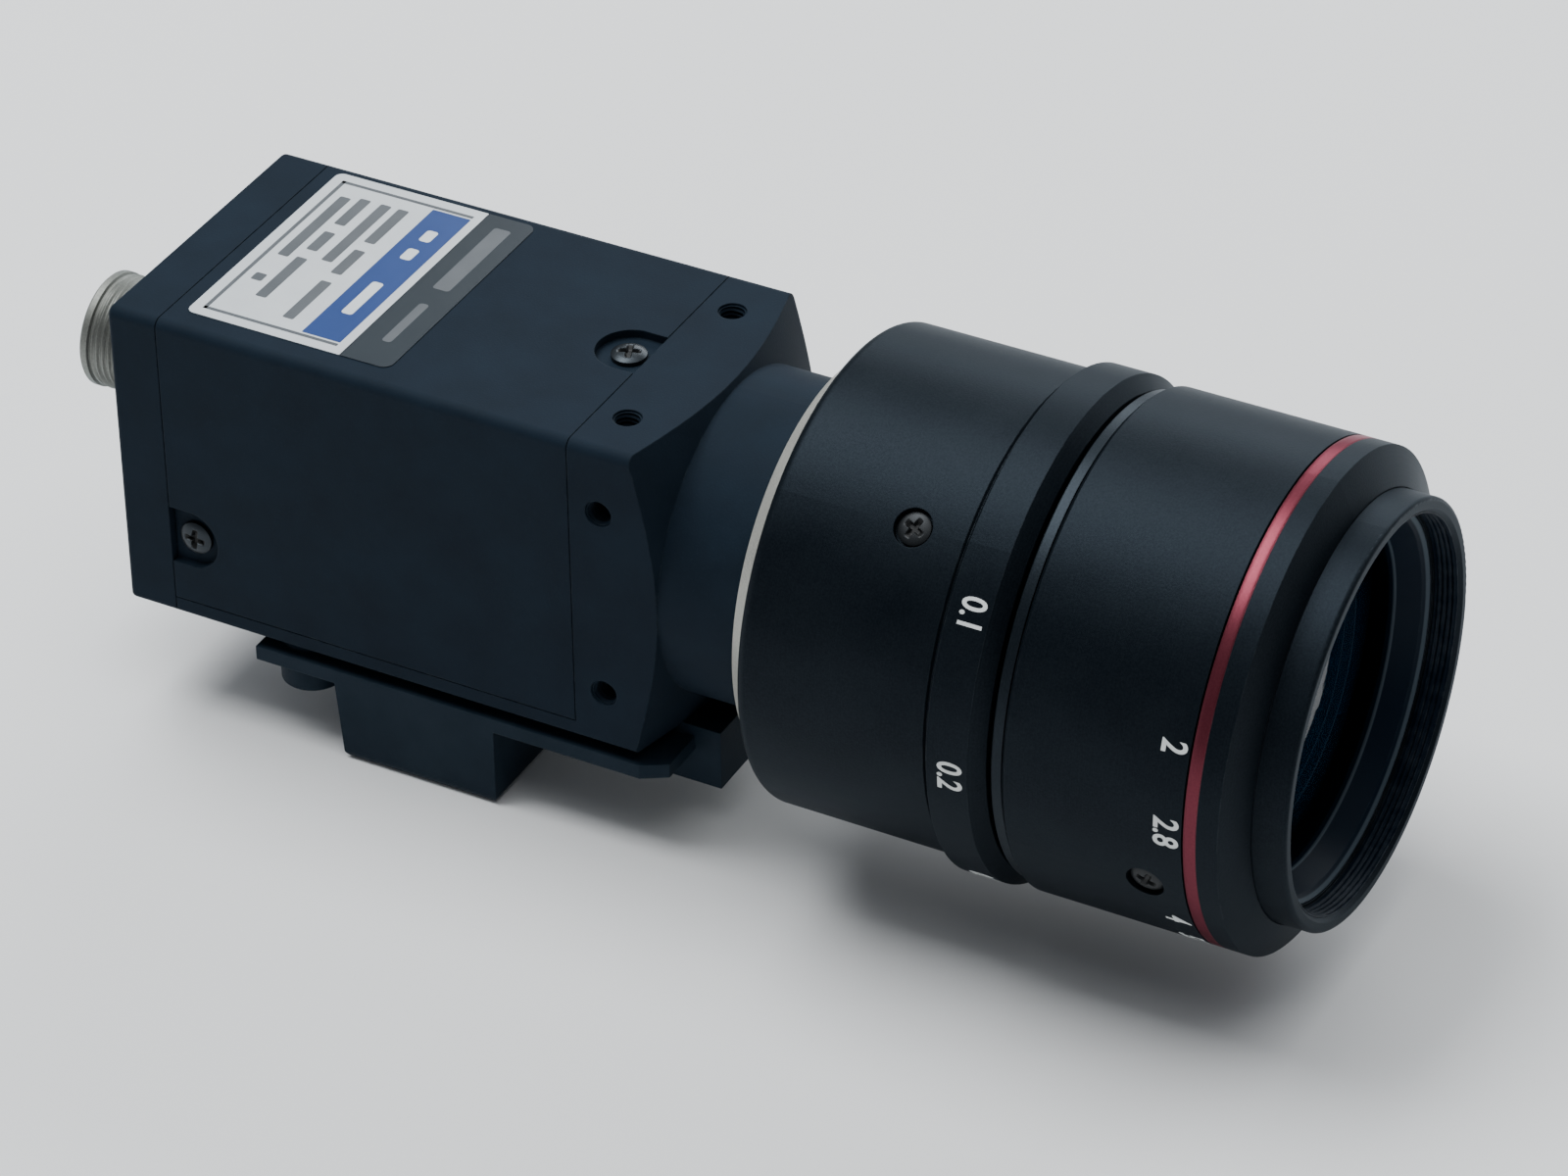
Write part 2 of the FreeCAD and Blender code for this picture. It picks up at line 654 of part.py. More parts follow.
def runs_along(edge, axis):
    """Whether an edge is straight and runs along one of the axes 0, 1 or 2."""
    if edge.Curve.TypeId != "Part::GeomLine":
        return False
    step = edge.Vertexes[-1].Point - edge.Vertexes[0].Point
    return abs(abs(step[axis]) - step.Length) < 1e-6 * max(step.Length, 1.0)


def at(edge, axis, formula, tolerance=1e-4):
    """Whether an edge's middle lies at a level along an axis."""
    return abs(edge.CenterOfMass[axis] - number(formula)) < tolerance


def mirrored(along, up):
    """Four places, one in each quarter."""
    return [(f"{s}({along})", f"{t}({up})") for s in ("-", "") for t in ("-", "")]


def long_edge(edge, height):
    """Whether an edge runs along the body's side at a height."""
    beside = at(edge, 1, HALF_WIDTH) or at(edge, 1, f"-{HALF_WIDTH}")
    return runs_along(edge, 0) and beside and at(edge, 2, height)


# ---------------------------------------------------------------------------------------------------
# Camera head: housing and covers
# ---------------------------------------------------------------------------------------------------
MOUNT_HOLES = [("mount_hole_ahead", "mount_hole_spacing / 2"),
               ("mount_hole_ahead", "-mount_hole_spacing / 2")]
SIDE_HOLES = [(ahead, f"{up} - side_hole_drop") for ahead, up in MOUNT_HOLES]
REAR_FOOT_HOLES = [("-rear_foot_screw", "rear_foot_spread"), ("-rear_foot_screw", "-rear_foot_spread")]
POSTS = mirrored("post_spread", "post_spread")
UPPER_CORNERS = [("corner_screw_y", "corner_screw_z"), ("-corner_screw_y", "corner_screw_z")]
LOWER_CORNERS = [("corner_screw_y", "-corner_screw_z"), ("-corner_screw_y", "-corner_screw_z")]
SIDES = (("XZ_Plane", "", False), ("XZ_Plane", "-", True))


def make_front_housing():
    """The cast front block, its turned shoulder and lens neck, and the base that reaches to the rear."""
    body = new_piece("front_housing")
    block = sketch_on(body, "YZ_Plane")
    draw_box(block, (f"-{HALF_WIDTH}", f"-{HALF_HEIGHT}"), (HALF_WIDTH, HALF_HEIGHT))
    pad(body, block, "neck_front")
    base = sketch_on(body, "YZ_Plane")
    draw_box(base, (f"-{HALF_WIDTH}", f"-{HALF_HEIGHT}"), (HALF_WIDTH, BASE_TOP))
    pad(body, base, "cover_length", reverse=True)
    round_edges(body, lambda edge: long_edge(edge, HALF_HEIGHT), "edge_round")
    round_edges(body, lambda edge: long_edge(edge, f"-{HALF_HEIGHT}"), "base_round")
    outside = "(body_width + body_height)"
    groove(body, [
        ("neck_start", "neck_radius"), ("neck_front + 1", "neck_radius"), ("neck_front + 1", outside),
        (f"neck_start - shoulder_ratio * ({outside} - neck_radius)", outside)])
    tongue = sketch_on(body, "YZ_Plane")
    draw_box(tongue, ("-tongue_half_width", f"{INNER_TOP} - tongue_thick"), ("tongue_half_width", INNER_TOP))
    pad(body, tongue, "tongue_length", reverse=True)
    ears = sketch_on(body, "XY_Plane", BASE_TOP)
    for side in ("", "-"):
        draw_box(ears, (REAR_SEAM, f"{side}ear_inner"), (f"{REAR_SEAM} + ear_length", f"{side}{INNER_WIDTH}"))
    pad(body, ears, "ear_height")
    posts = sketch_on(body, "YZ_Plane")
    draw_circles(posts, POSTS, "post_radius")
    pad(body, posts, "post_length", reverse=True)
    bosses = sketch_on(body, "XY_Plane", BASE_TOP)
    draw_circles(bosses, REAR_FOOT_HOLES, "base_boss_radius")
    pad(body, bosses, "base_boss_height")
    groove(body, [
        ("-1", "0"), ("-1", "chamber_radius"), ("chamber_depth", "chamber_radius"),
        ("chamber_depth", "window_aperture"), (WINDOW_BACK, "window_aperture"),
        (WINDOW_BACK, "window_radius + glass_clear"),
        (WINDOW_FRONT, "window_radius + glass_clear"), (WINDOW_FRONT, "throat_radius"),
        ("mount_thread_start", "throat_radius"), ("mount_thread_start", "mount_thread_radius"),
        ("neck_front + 1", "mount_thread_radius"), ("neck_front + 1", "0")])
    cut_housing_holes(body)
    return body


def cut_housing_holes(body):
    """The mounting holes on four sides and the threaded holes of the covers, boards and foot."""
    for plane, lift, places, outward in (
            ("XY_Plane", HALF_HEIGHT, MOUNT_HOLES, False), ("XY_Plane", f"-{HALF_HEIGHT}", MOUNT_HOLES, True),
            ("XZ_Plane", HALF_WIDTH, SIDE_HOLES, False), ("XZ_Plane", f"-{HALF_WIDTH}", SIDE_HOLES, True)):
        holes = sketch_on(body, plane, lift)
        draw_circles(holes, places, "mount_hole_radius")
        pocket(body, holes, "mount_hole_depth", outward)
    foot_holes = sketch_on(body, "XY_Plane", f"-{HALF_HEIGHT}")
    draw_circles(foot_holes, REAR_FOOT_HOLES, "mount_hole_radius")
    pocket(body, foot_holes, outward=True)
    tongue_hole = sketch_on(body, "XY_Plane", INNER_TOP)
    draw_circles(tongue_hole, [("-top_screw_back", "0")], "cover_shank_radius + thread_clear")
    pocket(body, tongue_hole, "tongue_thick")
    for plane, sign, outward in SIDES:
        ear_hole = sketch_on(body, plane, f"{sign}{INNER_WIDTH}")
        draw_circles(ear_hole, [("-side_screw_back", "-side_screw_drop")],
                     "cover_shank_radius + thread_clear")
        pocket(body, ear_hole, f"{INNER_WIDTH} - ear_inner", outward)
    corner_holes = sketch_on(body, "YZ_Plane", REAR_SEAM)
    draw_circles(corner_holes, LOWER_CORNERS, "corner_shank_radius + thread_clear")
    pocket(body, corner_holes, "ear_length", outward=True)
    stud_holes = sketch_on(body, "YZ_Plane", "-post_length")
    draw_circles(stud_holes, POSTS, "stud_radius + thread_clear")
    pocket(body, stud_holes, "stud_length", outward=True)


def make_body_cover():
    """The drawn cover over the base: two sides, a top, screw channels inside its upper corners."""
    body = new_piece("body_cover")
    skirt = f"{BASE_TOP} + seam_gap"
    profile = sketch_on(body, "YZ_Plane", "-seam_gap")
    draw_loop(profile, [
        (f"-{HALF_WIDTH}", skirt), (f"-{INNER_WIDTH}", skirt), (f"-{INNER_WIDTH}", INNER_TOP),
        (INNER_WIDTH, INNER_TOP), (INNER_WIDTH, skirt), (HALF_WIDTH, skirt),
        (HALF_WIDTH, HALF_HEIGHT), (f"-{HALF_WIDTH}", HALF_HEIGHT)])
    pad(body, profile, "cover_length - seam_gap", reverse=True)
    round_edges(body, lambda edge: long_edge(edge, HALF_HEIGHT), "edge_round")
    channels = sketch_on(body, "YZ_Plane", "-seam_gap")
    draw_circles(channels, UPPER_CORNERS, "corner_boss_radius")
    pad(body, channels, "cover_length - seam_gap", reverse=True)
    channel_holes = sketch_on(body, "YZ_Plane")
    draw_circles(channel_holes, UPPER_CORNERS, "corner_shank_radius + thread_clear")
    pocket(body, channel_holes, "cover_length + 1")
    dimple = sketch_on(body, "XY_Plane", HALF_HEIGHT)
    bend = "-top_screw_back - 0.4"
    draw_loop(dimple, [
        ("1", "-dimple_half"), ("1", "dimple_half"), (bend, "dimple_half", "dimple_half * 1.01"),
        (bend, "-dimple_half")])
    pocket(body, dimple, "dimple_depth")
    top_hole = sketch_on(body, "XY_Plane", HALF_HEIGHT)
    draw_circles(top_hole, [("-top_screw_back", "0")], "cover_shank_radius + screw_clear")
    pocket(body, top_hole, "cover_wall + 1")
    for plane, sign, outward in SIDES:
        side_pocket = sketch_on(body, plane, f"{sign}{HALF_WIDTH}")
        upper, lower = "side_pocket_radius - side_screw_drop", "-side_pocket_radius - side_screw_drop"
        draw_loop(side_pocket, [
            (f"{REAR_SEAM} - 1", lower), ("-side_screw_back", lower, "side_pocket_radius * 1.01"),
            ("-side_screw_back", upper), (f"{REAR_SEAM} - 1", upper)])
        pocket(body, side_pocket, "dimple_depth", outward)
        side_hole = sketch_on(body, plane, f"{sign}{HALF_WIDTH}")
        draw_circles(side_hole, [("-side_screw_back", "-side_screw_drop")],
                     "cover_shank_radius + screw_clear")
        pocket(body, side_hole, "cover_wall + 1", outward)
    return body


def make_rear_cover():
    """The cast rear cover: an open box with four screw posts and the connector's hole."""
    body = new_piece("rear_cover")
    front = f"({REAR_SEAM} - seam_gap)"
    block = sketch_on(body, "YZ_Plane", front)
    draw_box(block, (f"-{HALF_WIDTH}", f"-{HALF_HEIGHT}"), (HALF_WIDTH, HALF_HEIGHT))
    pad(body, block, "rear_depth - seam_gap", reverse=True)
    round_edges(body, lambda edge: long_edge(edge, HALF_HEIGHT), "edge_round")
    round_edges(body, lambda edge: long_edge(edge, f"-{HALF_HEIGHT}"), "base_round")
    round_edges(body, lambda edge: at(edge, 0, REAR_FACE), "rear_round")
    cavity = sketch_on(body, "YZ_Plane", front)
    draw_box(cavity, (f"-{INNER_WIDTH}", f"-{INNER_TOP}"), (INNER_WIDTH, INNER_TOP))
    pocket(body, cavity, "rear_depth - seam_gap - cover_wall")
    posts = sketch_on(body, "YZ_Plane", REAR_WALL)
    draw_circles(posts, UPPER_CORNERS + LOWER_CORNERS, "corner_boss_radius")
    pad(body, posts, "rear_depth - seam_gap - cover_wall")
    for radius, depth in (("corner_shank_radius + screw_clear", "rear_depth + 1"),
                          ("corner_sink_radius", "corner_sink_depth")):
        holes = sketch_on(body, "YZ_Plane", REAR_FACE)
        draw_circles(holes, UPPER_CORNERS + LOWER_CORNERS, radius)
        pocket(body, holes, depth, outward=True)
    opening = sketch_on(body, "YZ_Plane", REAR_FACE)
    draw_circles(opening, [("0", "connector_rise")], "connector_neck_radius + connector_neck_clear")
    pocket(body, opening, "cover_wall + 1", outward=True)
    return body


def add_screws(body, plane, seat, places, head, shank, outward=True):
    """Cross-recessed screws standing on a seat: heads along the plane's normal, shanks against it."""
    for radius, length, reverse in ((head[0], head[1], not outward), (shank[0], shank[1], outward)):
        sketch = sketch_on(body, plane, seat)
        draw_circles(sketch, places, radius)
        pad(body, sketch, length, reverse)
    top = f"{seat} + {head[1]}" if outward else f"{seat} - {head[1]}"
    recess = sketch_on(body, plane, top)
    draw_crosses(recess, places, f"{head[0]} * 0.56", f"{head[0]} * 0.14")
    pocket(body, recess, f"{head[1]} * 0.6", outward=not outward)


def make_cover_screws():
    """Three pan-head screws: one on top at the front seam, one low on each side at the rear seam."""
    body = new_piece("cover_screws", loose=True)
    head = ("cover_head_radius", "cover_head_height")
    shank = ("cover_shank_radius", "cover_shank_length")
    add_screws(body, "XY_Plane", f"{HALF_HEIGHT} - dimple_depth", [("-top_screw_back", "0")], head, shank)
    seat = f"({HALF_WIDTH} - dimple_depth)"
    place = [("-side_screw_back", "-side_screw_drop")]
    add_screws(body, "XZ_Plane", seat, place, head, shank)
    add_screws(body, "XZ_Plane", f"-{seat}", place, head, shank, outward=False)
    return body


def make_rear_screws():
    """Four pan-head screws in the counterbores of the rear cover."""
    body = new_piece("rear_screws", loose=True)
    add_screws(body, "YZ_Plane", f"{REAR_FACE} + corner_sink_depth", UPPER_CORNERS + LOWER_CORNERS,
               ("corner_head_radius", "corner_head_height"),
               ("corner_shank_radius", "corner_shank_length"), outward=False)
    return body


# ---------------------------------------------------------------------------------------------------
# Camera head: connector
# ---------------------------------------------------------------------------------------------------
SHELL_BACK = f"({REAR_FACE} - gasket_thick)"
SHELL_MOUTH = f"({SHELL_BACK} - connector_reach)"
INSERT_SEAT = f"({SHELL_BACK} - 0.7)"
INSERT_FACE = f"({INSERT_SEAT} - insert_depth)"
NUT_FRONT = f"({REAR_WALL} + nut_thick)"


def make_connector():
    """The threaded connector shell, its insulating insert, contact pins, gasket and panel nut."""
    shell = new_piece("connector_shell", rise="connector_rise")
    chamfer = "0.35"
    turned(shell, [
        (SHELL_MOUTH, "connector_bore"), (SHELL_MOUTH, f"connector_radius - {chamfer}"),
        (f"{SHELL_MOUTH} + {chamfer}", "connector_radius"), (SHELL_BACK, "connector_radius"),
        (SHELL_BACK, "connector_neck_radius"), (f"{NUT_FRONT} + 0.6", "connector_neck_radius"),
        (f"{NUT_FRONT} + 0.6", "connector_neck_bore"), (INSERT_SEAT, "connector_neck_bore"),
        (INSERT_SEAT, "connector_bore")])
    insert = new_piece("connector_insert", rise="connector_rise")
    tail = f"{INSERT_SEAT} + insert_tail"
    turned(insert, [
        (INSERT_FACE, "0"), (INSERT_FACE, "connector_bore - glass_clear"),
        (INSERT_SEAT, "connector_bore - glass_clear"), (INSERT_SEAT, "connector_neck_bore - glass_clear"),
        (tail, "connector_neck_bore - glass_clear"), (tail, "0")])
    contacts = contact_places()
    bores = sketch_on(insert, "YZ_Plane", INSERT_FACE)
    draw_circles(bores, contacts, "pin_radius + pin_clear")
    pocket(insert, bores, "insert_depth + insert_tail + 1", outward=True)
    pins = new_piece("connector_pins", rise="connector_rise", loose=True)
    feet = sketch_on(pins, "YZ_Plane", f"{INSERT_FACE} - pin_reach")
    draw_circles(feet, contacts, "pin_radius")
    pad(pins, feet, f"{LAST_BOARD} - ({INSERT_FACE} - pin_reach)")
    gasket = new_piece("connector_gasket", rise="connector_rise")
    turned(gasket, [
        (SHELL_BACK, "connector_neck_radius + connector_neck_clear"), (SHELL_BACK, "connector_radius"),
        (REAR_FACE, "connector_radius"), (REAR_FACE, "connector_neck_radius + connector_neck_clear")])
    nut = new_piece("connector_nut", rise="connector_rise")
    outline = sketch_on(nut, "YZ_Plane", REAR_WALL)
    draw_hexagons(outline, [("0", "0")], "nut_flat_radius")
    draw_circles(outline, [("0", "0")], "connector_neck_radius + thread_clear")
    pad(nut, outline, "nut_thick")


def contact_places():
    """Where the contact pins stand: a ring of them round a smaller ring."""
    places = []
    for radius, count in (("pin_ring_radius", OUTER_PIN_COUNT), ("pin_core_radius", INNER_PIN_COUNT)):
        for step in range(count):
            swing = f"{360 * step / count + 90}"
            places.append((f"{radius} * cos({swing})", f"{radius} * sin({swing})"))
    return places


# ---------------------------------------------------------------------------------------------------
# Camera head: sensor, window and boards
# ---------------------------------------------------------------------------------------------------
def make_window():
    """The dust window in front of the sensor, on its seal and under its retaining ring."""
    level = WINDOW_BACK
    for label, thick, inner in (("window_seal", "window_seal_thick", "window_aperture + 0.2"),
                                ("window_glass", "window_thick", None),
                                ("window_ring", "window_ring_thick", "window_aperture")):
        body = new_piece(label)
        outline = sketch_on(body, "YZ_Plane", level)
        draw_circles(outline, [("0", "0")], "window_radius")
        if inner:
            draw_circles(outline, [("0", "0")], inner)
        pad(body, outline, thick)
        level = f"({level} + {thick})"


def centred_box(body, lift, width, height, thick, reverse=False, places=(("0", "0"),)):
    """Flat rectangles of one size across the camera, each centred on its place."""
    sketch = sketch_on(body, "YZ_Plane", lift)
    for along, up in places:
        draw_box(sketch, (f"{along} - {width} / 2", f"{up} - {height} / 2"),
                 (f"{along} + {width} / 2", f"{up} + {height} / 2"))
    return pad(body, sketch, thick, reverse)


def board_front(row):
    """The level of a board's front face; row 0 is the sensor board."""
    return f"(-post_length - {row} * board_pitch)"


def make_boards():
    """Four boards in a stack, with standoffs, stacking headers, chips and end screws."""
    for row, label in enumerate(BOARD_NAMES):
        board = new_piece(label)
        centred_box(board, board_front(row), "board_size", "board_size", "board_thick", reverse=True)
        holes = sketch_on(board, "YZ_Plane", board_front(row))
        draw_circles(holes, POSTS, "board_hole_radius")
        pocket(board, holes, "board_thick + 1")
    standoffs = new_piece("board_standoffs", loose=True)
    headers = new_piece("board_headers", loose=True)
    for row in range(len(BOARD_NAMES) - 1):
        back = f"({board_front(row)} - board_thick)"
        hexes = sketch_on(standoffs, "YZ_Plane", back)
        draw_hexagons(hexes, POSTS, "standoff_flat_radius")
        pad(standoffs, hexes, "board_pitch - board_thick", reverse=True)
        studs = sketch_on(standoffs, "YZ_Plane", back)
        draw_circles(studs, POSTS, "stud_radius")
        pad(standoffs, studs, "stud_length")
        bores = sketch_on(standoffs, "YZ_Plane", board_front(row + 1))
        draw_circles(bores, POSTS, "stud_radius + thread_clear")
        pocket(standoffs, bores, "stud_hole_depth", outward=True)
        shroud = sketch_on(headers, "YZ_Plane", back)
        draw_box(shroud, ("-header_half_width", "header_low"), ("header_half_width", "header_high"))
        pad(headers, shroud, "board_pitch - board_thick", reverse=True)
    screws = new_piece("board_screws", loose=True)
    add_screws(screws, "YZ_Plane", LAST_BOARD, POSTS, ("board_head_radius", "board_head_height"),
               ("stud_radius", "stud_length"), outward=False)
    sensor = new_piece("image_sensor")
    centred_box(sensor, board_front(0), "sensor_size", "sensor_size", "sensor_thick")
    glass = new_piece("sensor_glass")
    centred_box(glass, f"{board_front(0)} + sensor_thick", "sensor_glass_size", "sensor_glass_size",
                "sensor_glass_thick")
    chip = new_piece("processor_chip")
    centred_box(chip, board_front(1), "chip_size", "chip_size", "chip_thick")
    memory = new_piece("memory_chips", loose=True)
    centred_box(memory, board_front(2), "memory_width", "memory_height", "memory_thick",
                places=(("memory_spread", "0"), ("-memory_spread", "0")))


def make_labels():
    """The sticker and the dark strip ahead of it, on the cover's top."""
    sticker = new_piece("label_plate")
    outline = sketch_on(sticker, "XY_Plane", HALF_HEIGHT)
    near, far = "(label_shift - label_half_width)", "(label_shift + label_half_width)"
    draw_loop(outline, [
        ("label_round - label_back", near), ("-label_front - label_round", near, "label_round"),
        ("-label_front", f"{near} + label_round"), ("-label_front", f"{far} - label_round", "label_round"),
        ("-label_front - label_round", far), ("label_round - label_back", far, "label_round"),
        ("-label_back", f"{far} - label_round"), ("-label_back", f"{near} + label_round", "label_round")])
    pad(sticker, outline, "label_thick")
    strip = new_piece("name_strip")
    outline = sketch_on(strip, "XY_Plane", HALF_HEIGHT)
    back, front = "-strip_back", "-strip_front"
    draw_loop(outline, [
        (back, near), (f"{front} - strip_round", near, "strip_round"), (front, f"{near} + strip_round"),
        (front, f"{far} - strip_round", "strip_round"), (f"{front} - strip_round", far), (back, far)])
    pad(strip, outline, "label_thick")


# ---------------------------------------------------------------------------------------------------
# Mounting foot
# ---------------------------------------------------------------------------------------------------
def make_foot():
    """The moulded insulating foot: plate, tripod block, front lug, bosses and cups for the screws."""
    body = new_piece("mounting_foot")
    plate = sketch_on(body, "XY_Plane", PLATE_BOTTOM)
    inset = f"({HALF_WIDTH} - plate_corner_wide)"
    draw_loop(plate, [
        ("-plate_back", f"-{HALF_WIDTH}"), ("plate_front - plate_corner_long", f"-{HALF_WIDTH}"),
        ("plate_front", f"-{inset}"), ("plate_front", inset),
        ("plate_front - plate_corner_long", HALF_WIDTH), ("-plate_back", HALF_WIDTH)])
    pad(body, plate, "plate_thick")
    cups = sketch_on(body, "XY_Plane", PLATE_BOTTOM)
    draw_circles(cups, REAR_FOOT_HOLES, "foot_cup_radius")
    pad(body, cups, "foot_cup_depth", True)
    sinks = sketch_on(body, "XY_Plane", PLATE_BOTTOM)
    draw_circles(sinks, REAR_FOOT_HOLES, "foot_head_radius + screw_clear")
    pocket(body, sinks, "foot_cup_depth + 1")
    block = sketch_on(body, "XZ_Plane")
    draw_loop(block, [
        ("-foot_back", f"{PLATE_BOTTOM} + 0.5"), ("foot_rake - foot_back", "-axis_height"),
        ("-foot_front", "-axis_height"), ("-foot_front", f"{PLATE_BOTTOM} + 0.5")])
    pad(body, block, "body_width", symmetric=True)
    round_edges(body, lambda edge: at(edge, 2, "-axis_height"), "foot_round")
    lug = sketch_on(body, "XY_Plane", "-lug_drop")
    draw_box(lug, ("lug_back", "-lug_half_width"), ("lug_front", "lug_half_width"))
    pad(body, lug, f"lug_drop - {HALF_HEIGHT}")
    bosses = sketch_on(body, "XY_Plane", PLATE_TOP)
    draw_circles(bosses, MOUNT_HOLES + REAR_FOOT_HOLES, "foot_boss_radius")
    pad(body, bosses, "plate_gap")
    holes = sketch_on(body, "XY_Plane", f"-{HALF_HEIGHT}")
    draw_circles(holes, MOUNT_HOLES + REAR_FOOT_HOLES, "foot_shank_radius + screw_clear")
    pocket(body, holes, "plate_gap + plate_thick + 1")
    reliefs = sketch_on(body, "XY_Plane", "-axis_height")
    rear, fore = "(foot_rake - foot_back + relief_wall)", "(-foot_front - relief_wall)"
    for side in ("", "-"):
        draw_box(reliefs, (rear, f"{side}relief_rib"), (fore, f"{side}({HALF_WIDTH} - relief_wall)"))
    pocket(body, reliefs, "relief_depth", outward=True)
    seat = sketch_on(body, "XY_Plane", "-axis_height")
    draw_circles(seat, [("-seam_ahead", "0")], "insert_outer_radius + glass_clear")
    pocket(body, seat, "insert_length", outward=True)
    insert = new_piece("thread_insert")
    sleeve = sketch_on(insert, "XY_Plane", "-axis_height")
    draw_circles(sleeve, [("-seam_ahead", "0")], "insert_outer_radius")
    draw_circles(sleeve, [("-seam_ahead", "0")], "insert_thread_radius")
    pad(insert, sleeve, "insert_length")


def make_foot_screws():
    """Four socket-head screws that hold the foot to the housing."""
    body = new_piece("foot_screws", loose=True)
    places = MOUNT_HOLES + REAR_FOOT_HOLES
    for radius, length, reverse in (("foot_head_radius", "foot_head_height", True),
                                    ("foot_shank_radius", "foot_shank_length", False)):
        sketch = sketch_on(body, "XY_Plane", PLATE_BOTTOM)
        draw_circles(sketch, places, radius)
        pad(body, sketch, length, reverse)
    socket = sketch_on(body, "XY_Plane", f"{PLATE_BOTTOM} - foot_head_height")
    draw_hexagons(socket, places, "foot_hex_radius")
    pocket(body, socket, "foot_hex_depth", outward=True)


# ---------------------------------------------------------------------------------------------------
# Lens: fixed pieces and focus ring
# ---------------------------------------------------------------------------------------------------
def make_lens_fixed():
    """The bare metal mount ring in the camera's neck and the core tube that the rings run on."""
    ring = new_piece("lens_mount_ring")
    spigot = "(mount_thread_radius - spigot_clear)"
    back = "(neck_front - spigot_length)"
    turned(ring, [
        (back, "spigot_bore"), (back, f"{spigot} - 0.4"), (f"{back} + 0.4", spigot), ("neck_front", spigot),
        ("neck_front", "flange_back_radius"), (FLANGE_FRONT, "flange_front_radius"),
        (FLANGE_FRONT, "spigot_bore")])
    core = new_piece("lens_core", turn=BARREL_TURN)
    turned(core, [
        (FLANGE_FRONT, "spigot_bore"), (FLANGE_FRONT, "core_radius"), ("core_front", "core_radius"),
        ("core_front", CORE_BORE), (f"{FLANGE_FRONT} + core_end_wall", CORE_BORE),
        (f"{FLANGE_FRONT} + core_end_wall", "spigot_bore")])
    slot = sketch_on(core, "XY_Plane")
    half = "(guide_pin_radius + guide_clear)"
    first, last = "guide_pin_ahead", "guide_pin_ahead + focus_travel"
    draw_loop(slot, [
        (f"{first} - {half}", f"-{half}"), (f"{last} + {half}", f"-{half}"),
        (f"{last} + {half}", half), (f"{first} - {half}", half)])
    pocket(core, slot, outward=True)


def make_focus_ring():
    """The focus ring with its raised scale band, helical cam groove and lock screw."""
    ring = new_piece("focus_ring", turn="focus_screw_turn")
    bore = "focus_bore"
    turned(ring, [
        ("focus_start", bore), ("focus_start", "focus_radius - focus_rim_round", "-focus_rim_round"),
        ("focus_start + focus_rim_round", "focus_radius"), ("band_foot", "focus_radius"),
        ("band_foot + 0.35", "focus_radius - 0.35"), ("band_start", "band_radius"),
        ("band_end", "band_radius"), ("focus_front", "focus_front_radius"),
        ("focus_front", "focus_lip_radius"), ("focus_lip_start", "focus_lip_radius"),
        ("focus_lip_start", bore)])
    cut_lock_seat(ring, "focus_screw_ahead", "focus_radius")
    cut_cam_groove(ring, bore)
    screw = new_piece("focus_lock_screw", turn="focus_screw_turn")
    make_lock_screw(screw, "focus_screw_ahead", "focus_radius", f"{bore} + lock_tip_clear")


def cut_cam_groove(ring, bore):
    """The helical groove in the ring's bore that moves the guide pin forward as the ring turns."""
    profile = ring.newObject("Sketcher::SketchObject", f"{ring.Name}_cam")
    origin = {feature.Role: feature for feature in ring.Origin.OriginFeatures}
    profile.AttachmentSupport = [(origin["XZ_Plane"], "")]
    profile.MapMode = "FlatFace"
    start = f"{BARREL_TURN} - focus_screw_turn + groove_overrun"
    profile.setExpression("AttachmentOffset", sized(
        f"placement(vector(0; 0; 0); rotation(vector(1; 0; 0); {start}))"))
    lead_in = "(focus_travel * groove_overrun / focus_turn_range)"
    half = "(guide_pin_radius + guide_clear)"
    draw_box(profile, (f"guide_pin_ahead - {lead_in} - {half}", f"{bore} - 0.5"),
             (f"guide_pin_ahead - {lead_in} + {half}", "guide_groove_radius"))
    cut = ring.newObject("PartDesign::SubtractiveHelix", f"{ring.Name}_cam_groove")
    cut.Profile = profile
    cut.ReferenceAxis = (profile, ["H_Axis"])
    cut.Mode = "pitch-height-angle"
    cut.LeftHanded = True
    cut.setExpression("Pitch", sized("focus_travel * 360 / focus_turn_range"))
    cut.setExpression("Height", sized(f"focus_travel + 2 * {lead_in}"))


def cut_lock_seat(ring, ahead, radius):
    """The round recess and the threaded hole of a lock screw, straight up in the ring's own frame."""
    sink = sketch_on(ring, "XY_Plane", f"{radius} - lock_sink_depth")
    draw_circles(sink, [(ahead, "0")], "lock_sink_radius")
    pocket(ring, sink, outward=True)
    hole = sketch_on(ring, "XY_Plane")
    draw_circles(hole, [(ahead, "0")], "lock_shank_radius + lock_shank_clear")
    pocket(ring, hole, outward=True)


def make_lock_screw(screw, ahead, radius, tip):
    """A lock screw whose head sits in the ring's recess and whose shank stops short of the bore."""
    seat = f"({radius} - lock_sink_depth)"
    add_screws(screw, "XY_Plane", seat, [(ahead, "0")], ("lock_head_radius", "lock_head_height"),
               ("lock_shank_radius", f"{seat} - ({tip})"))


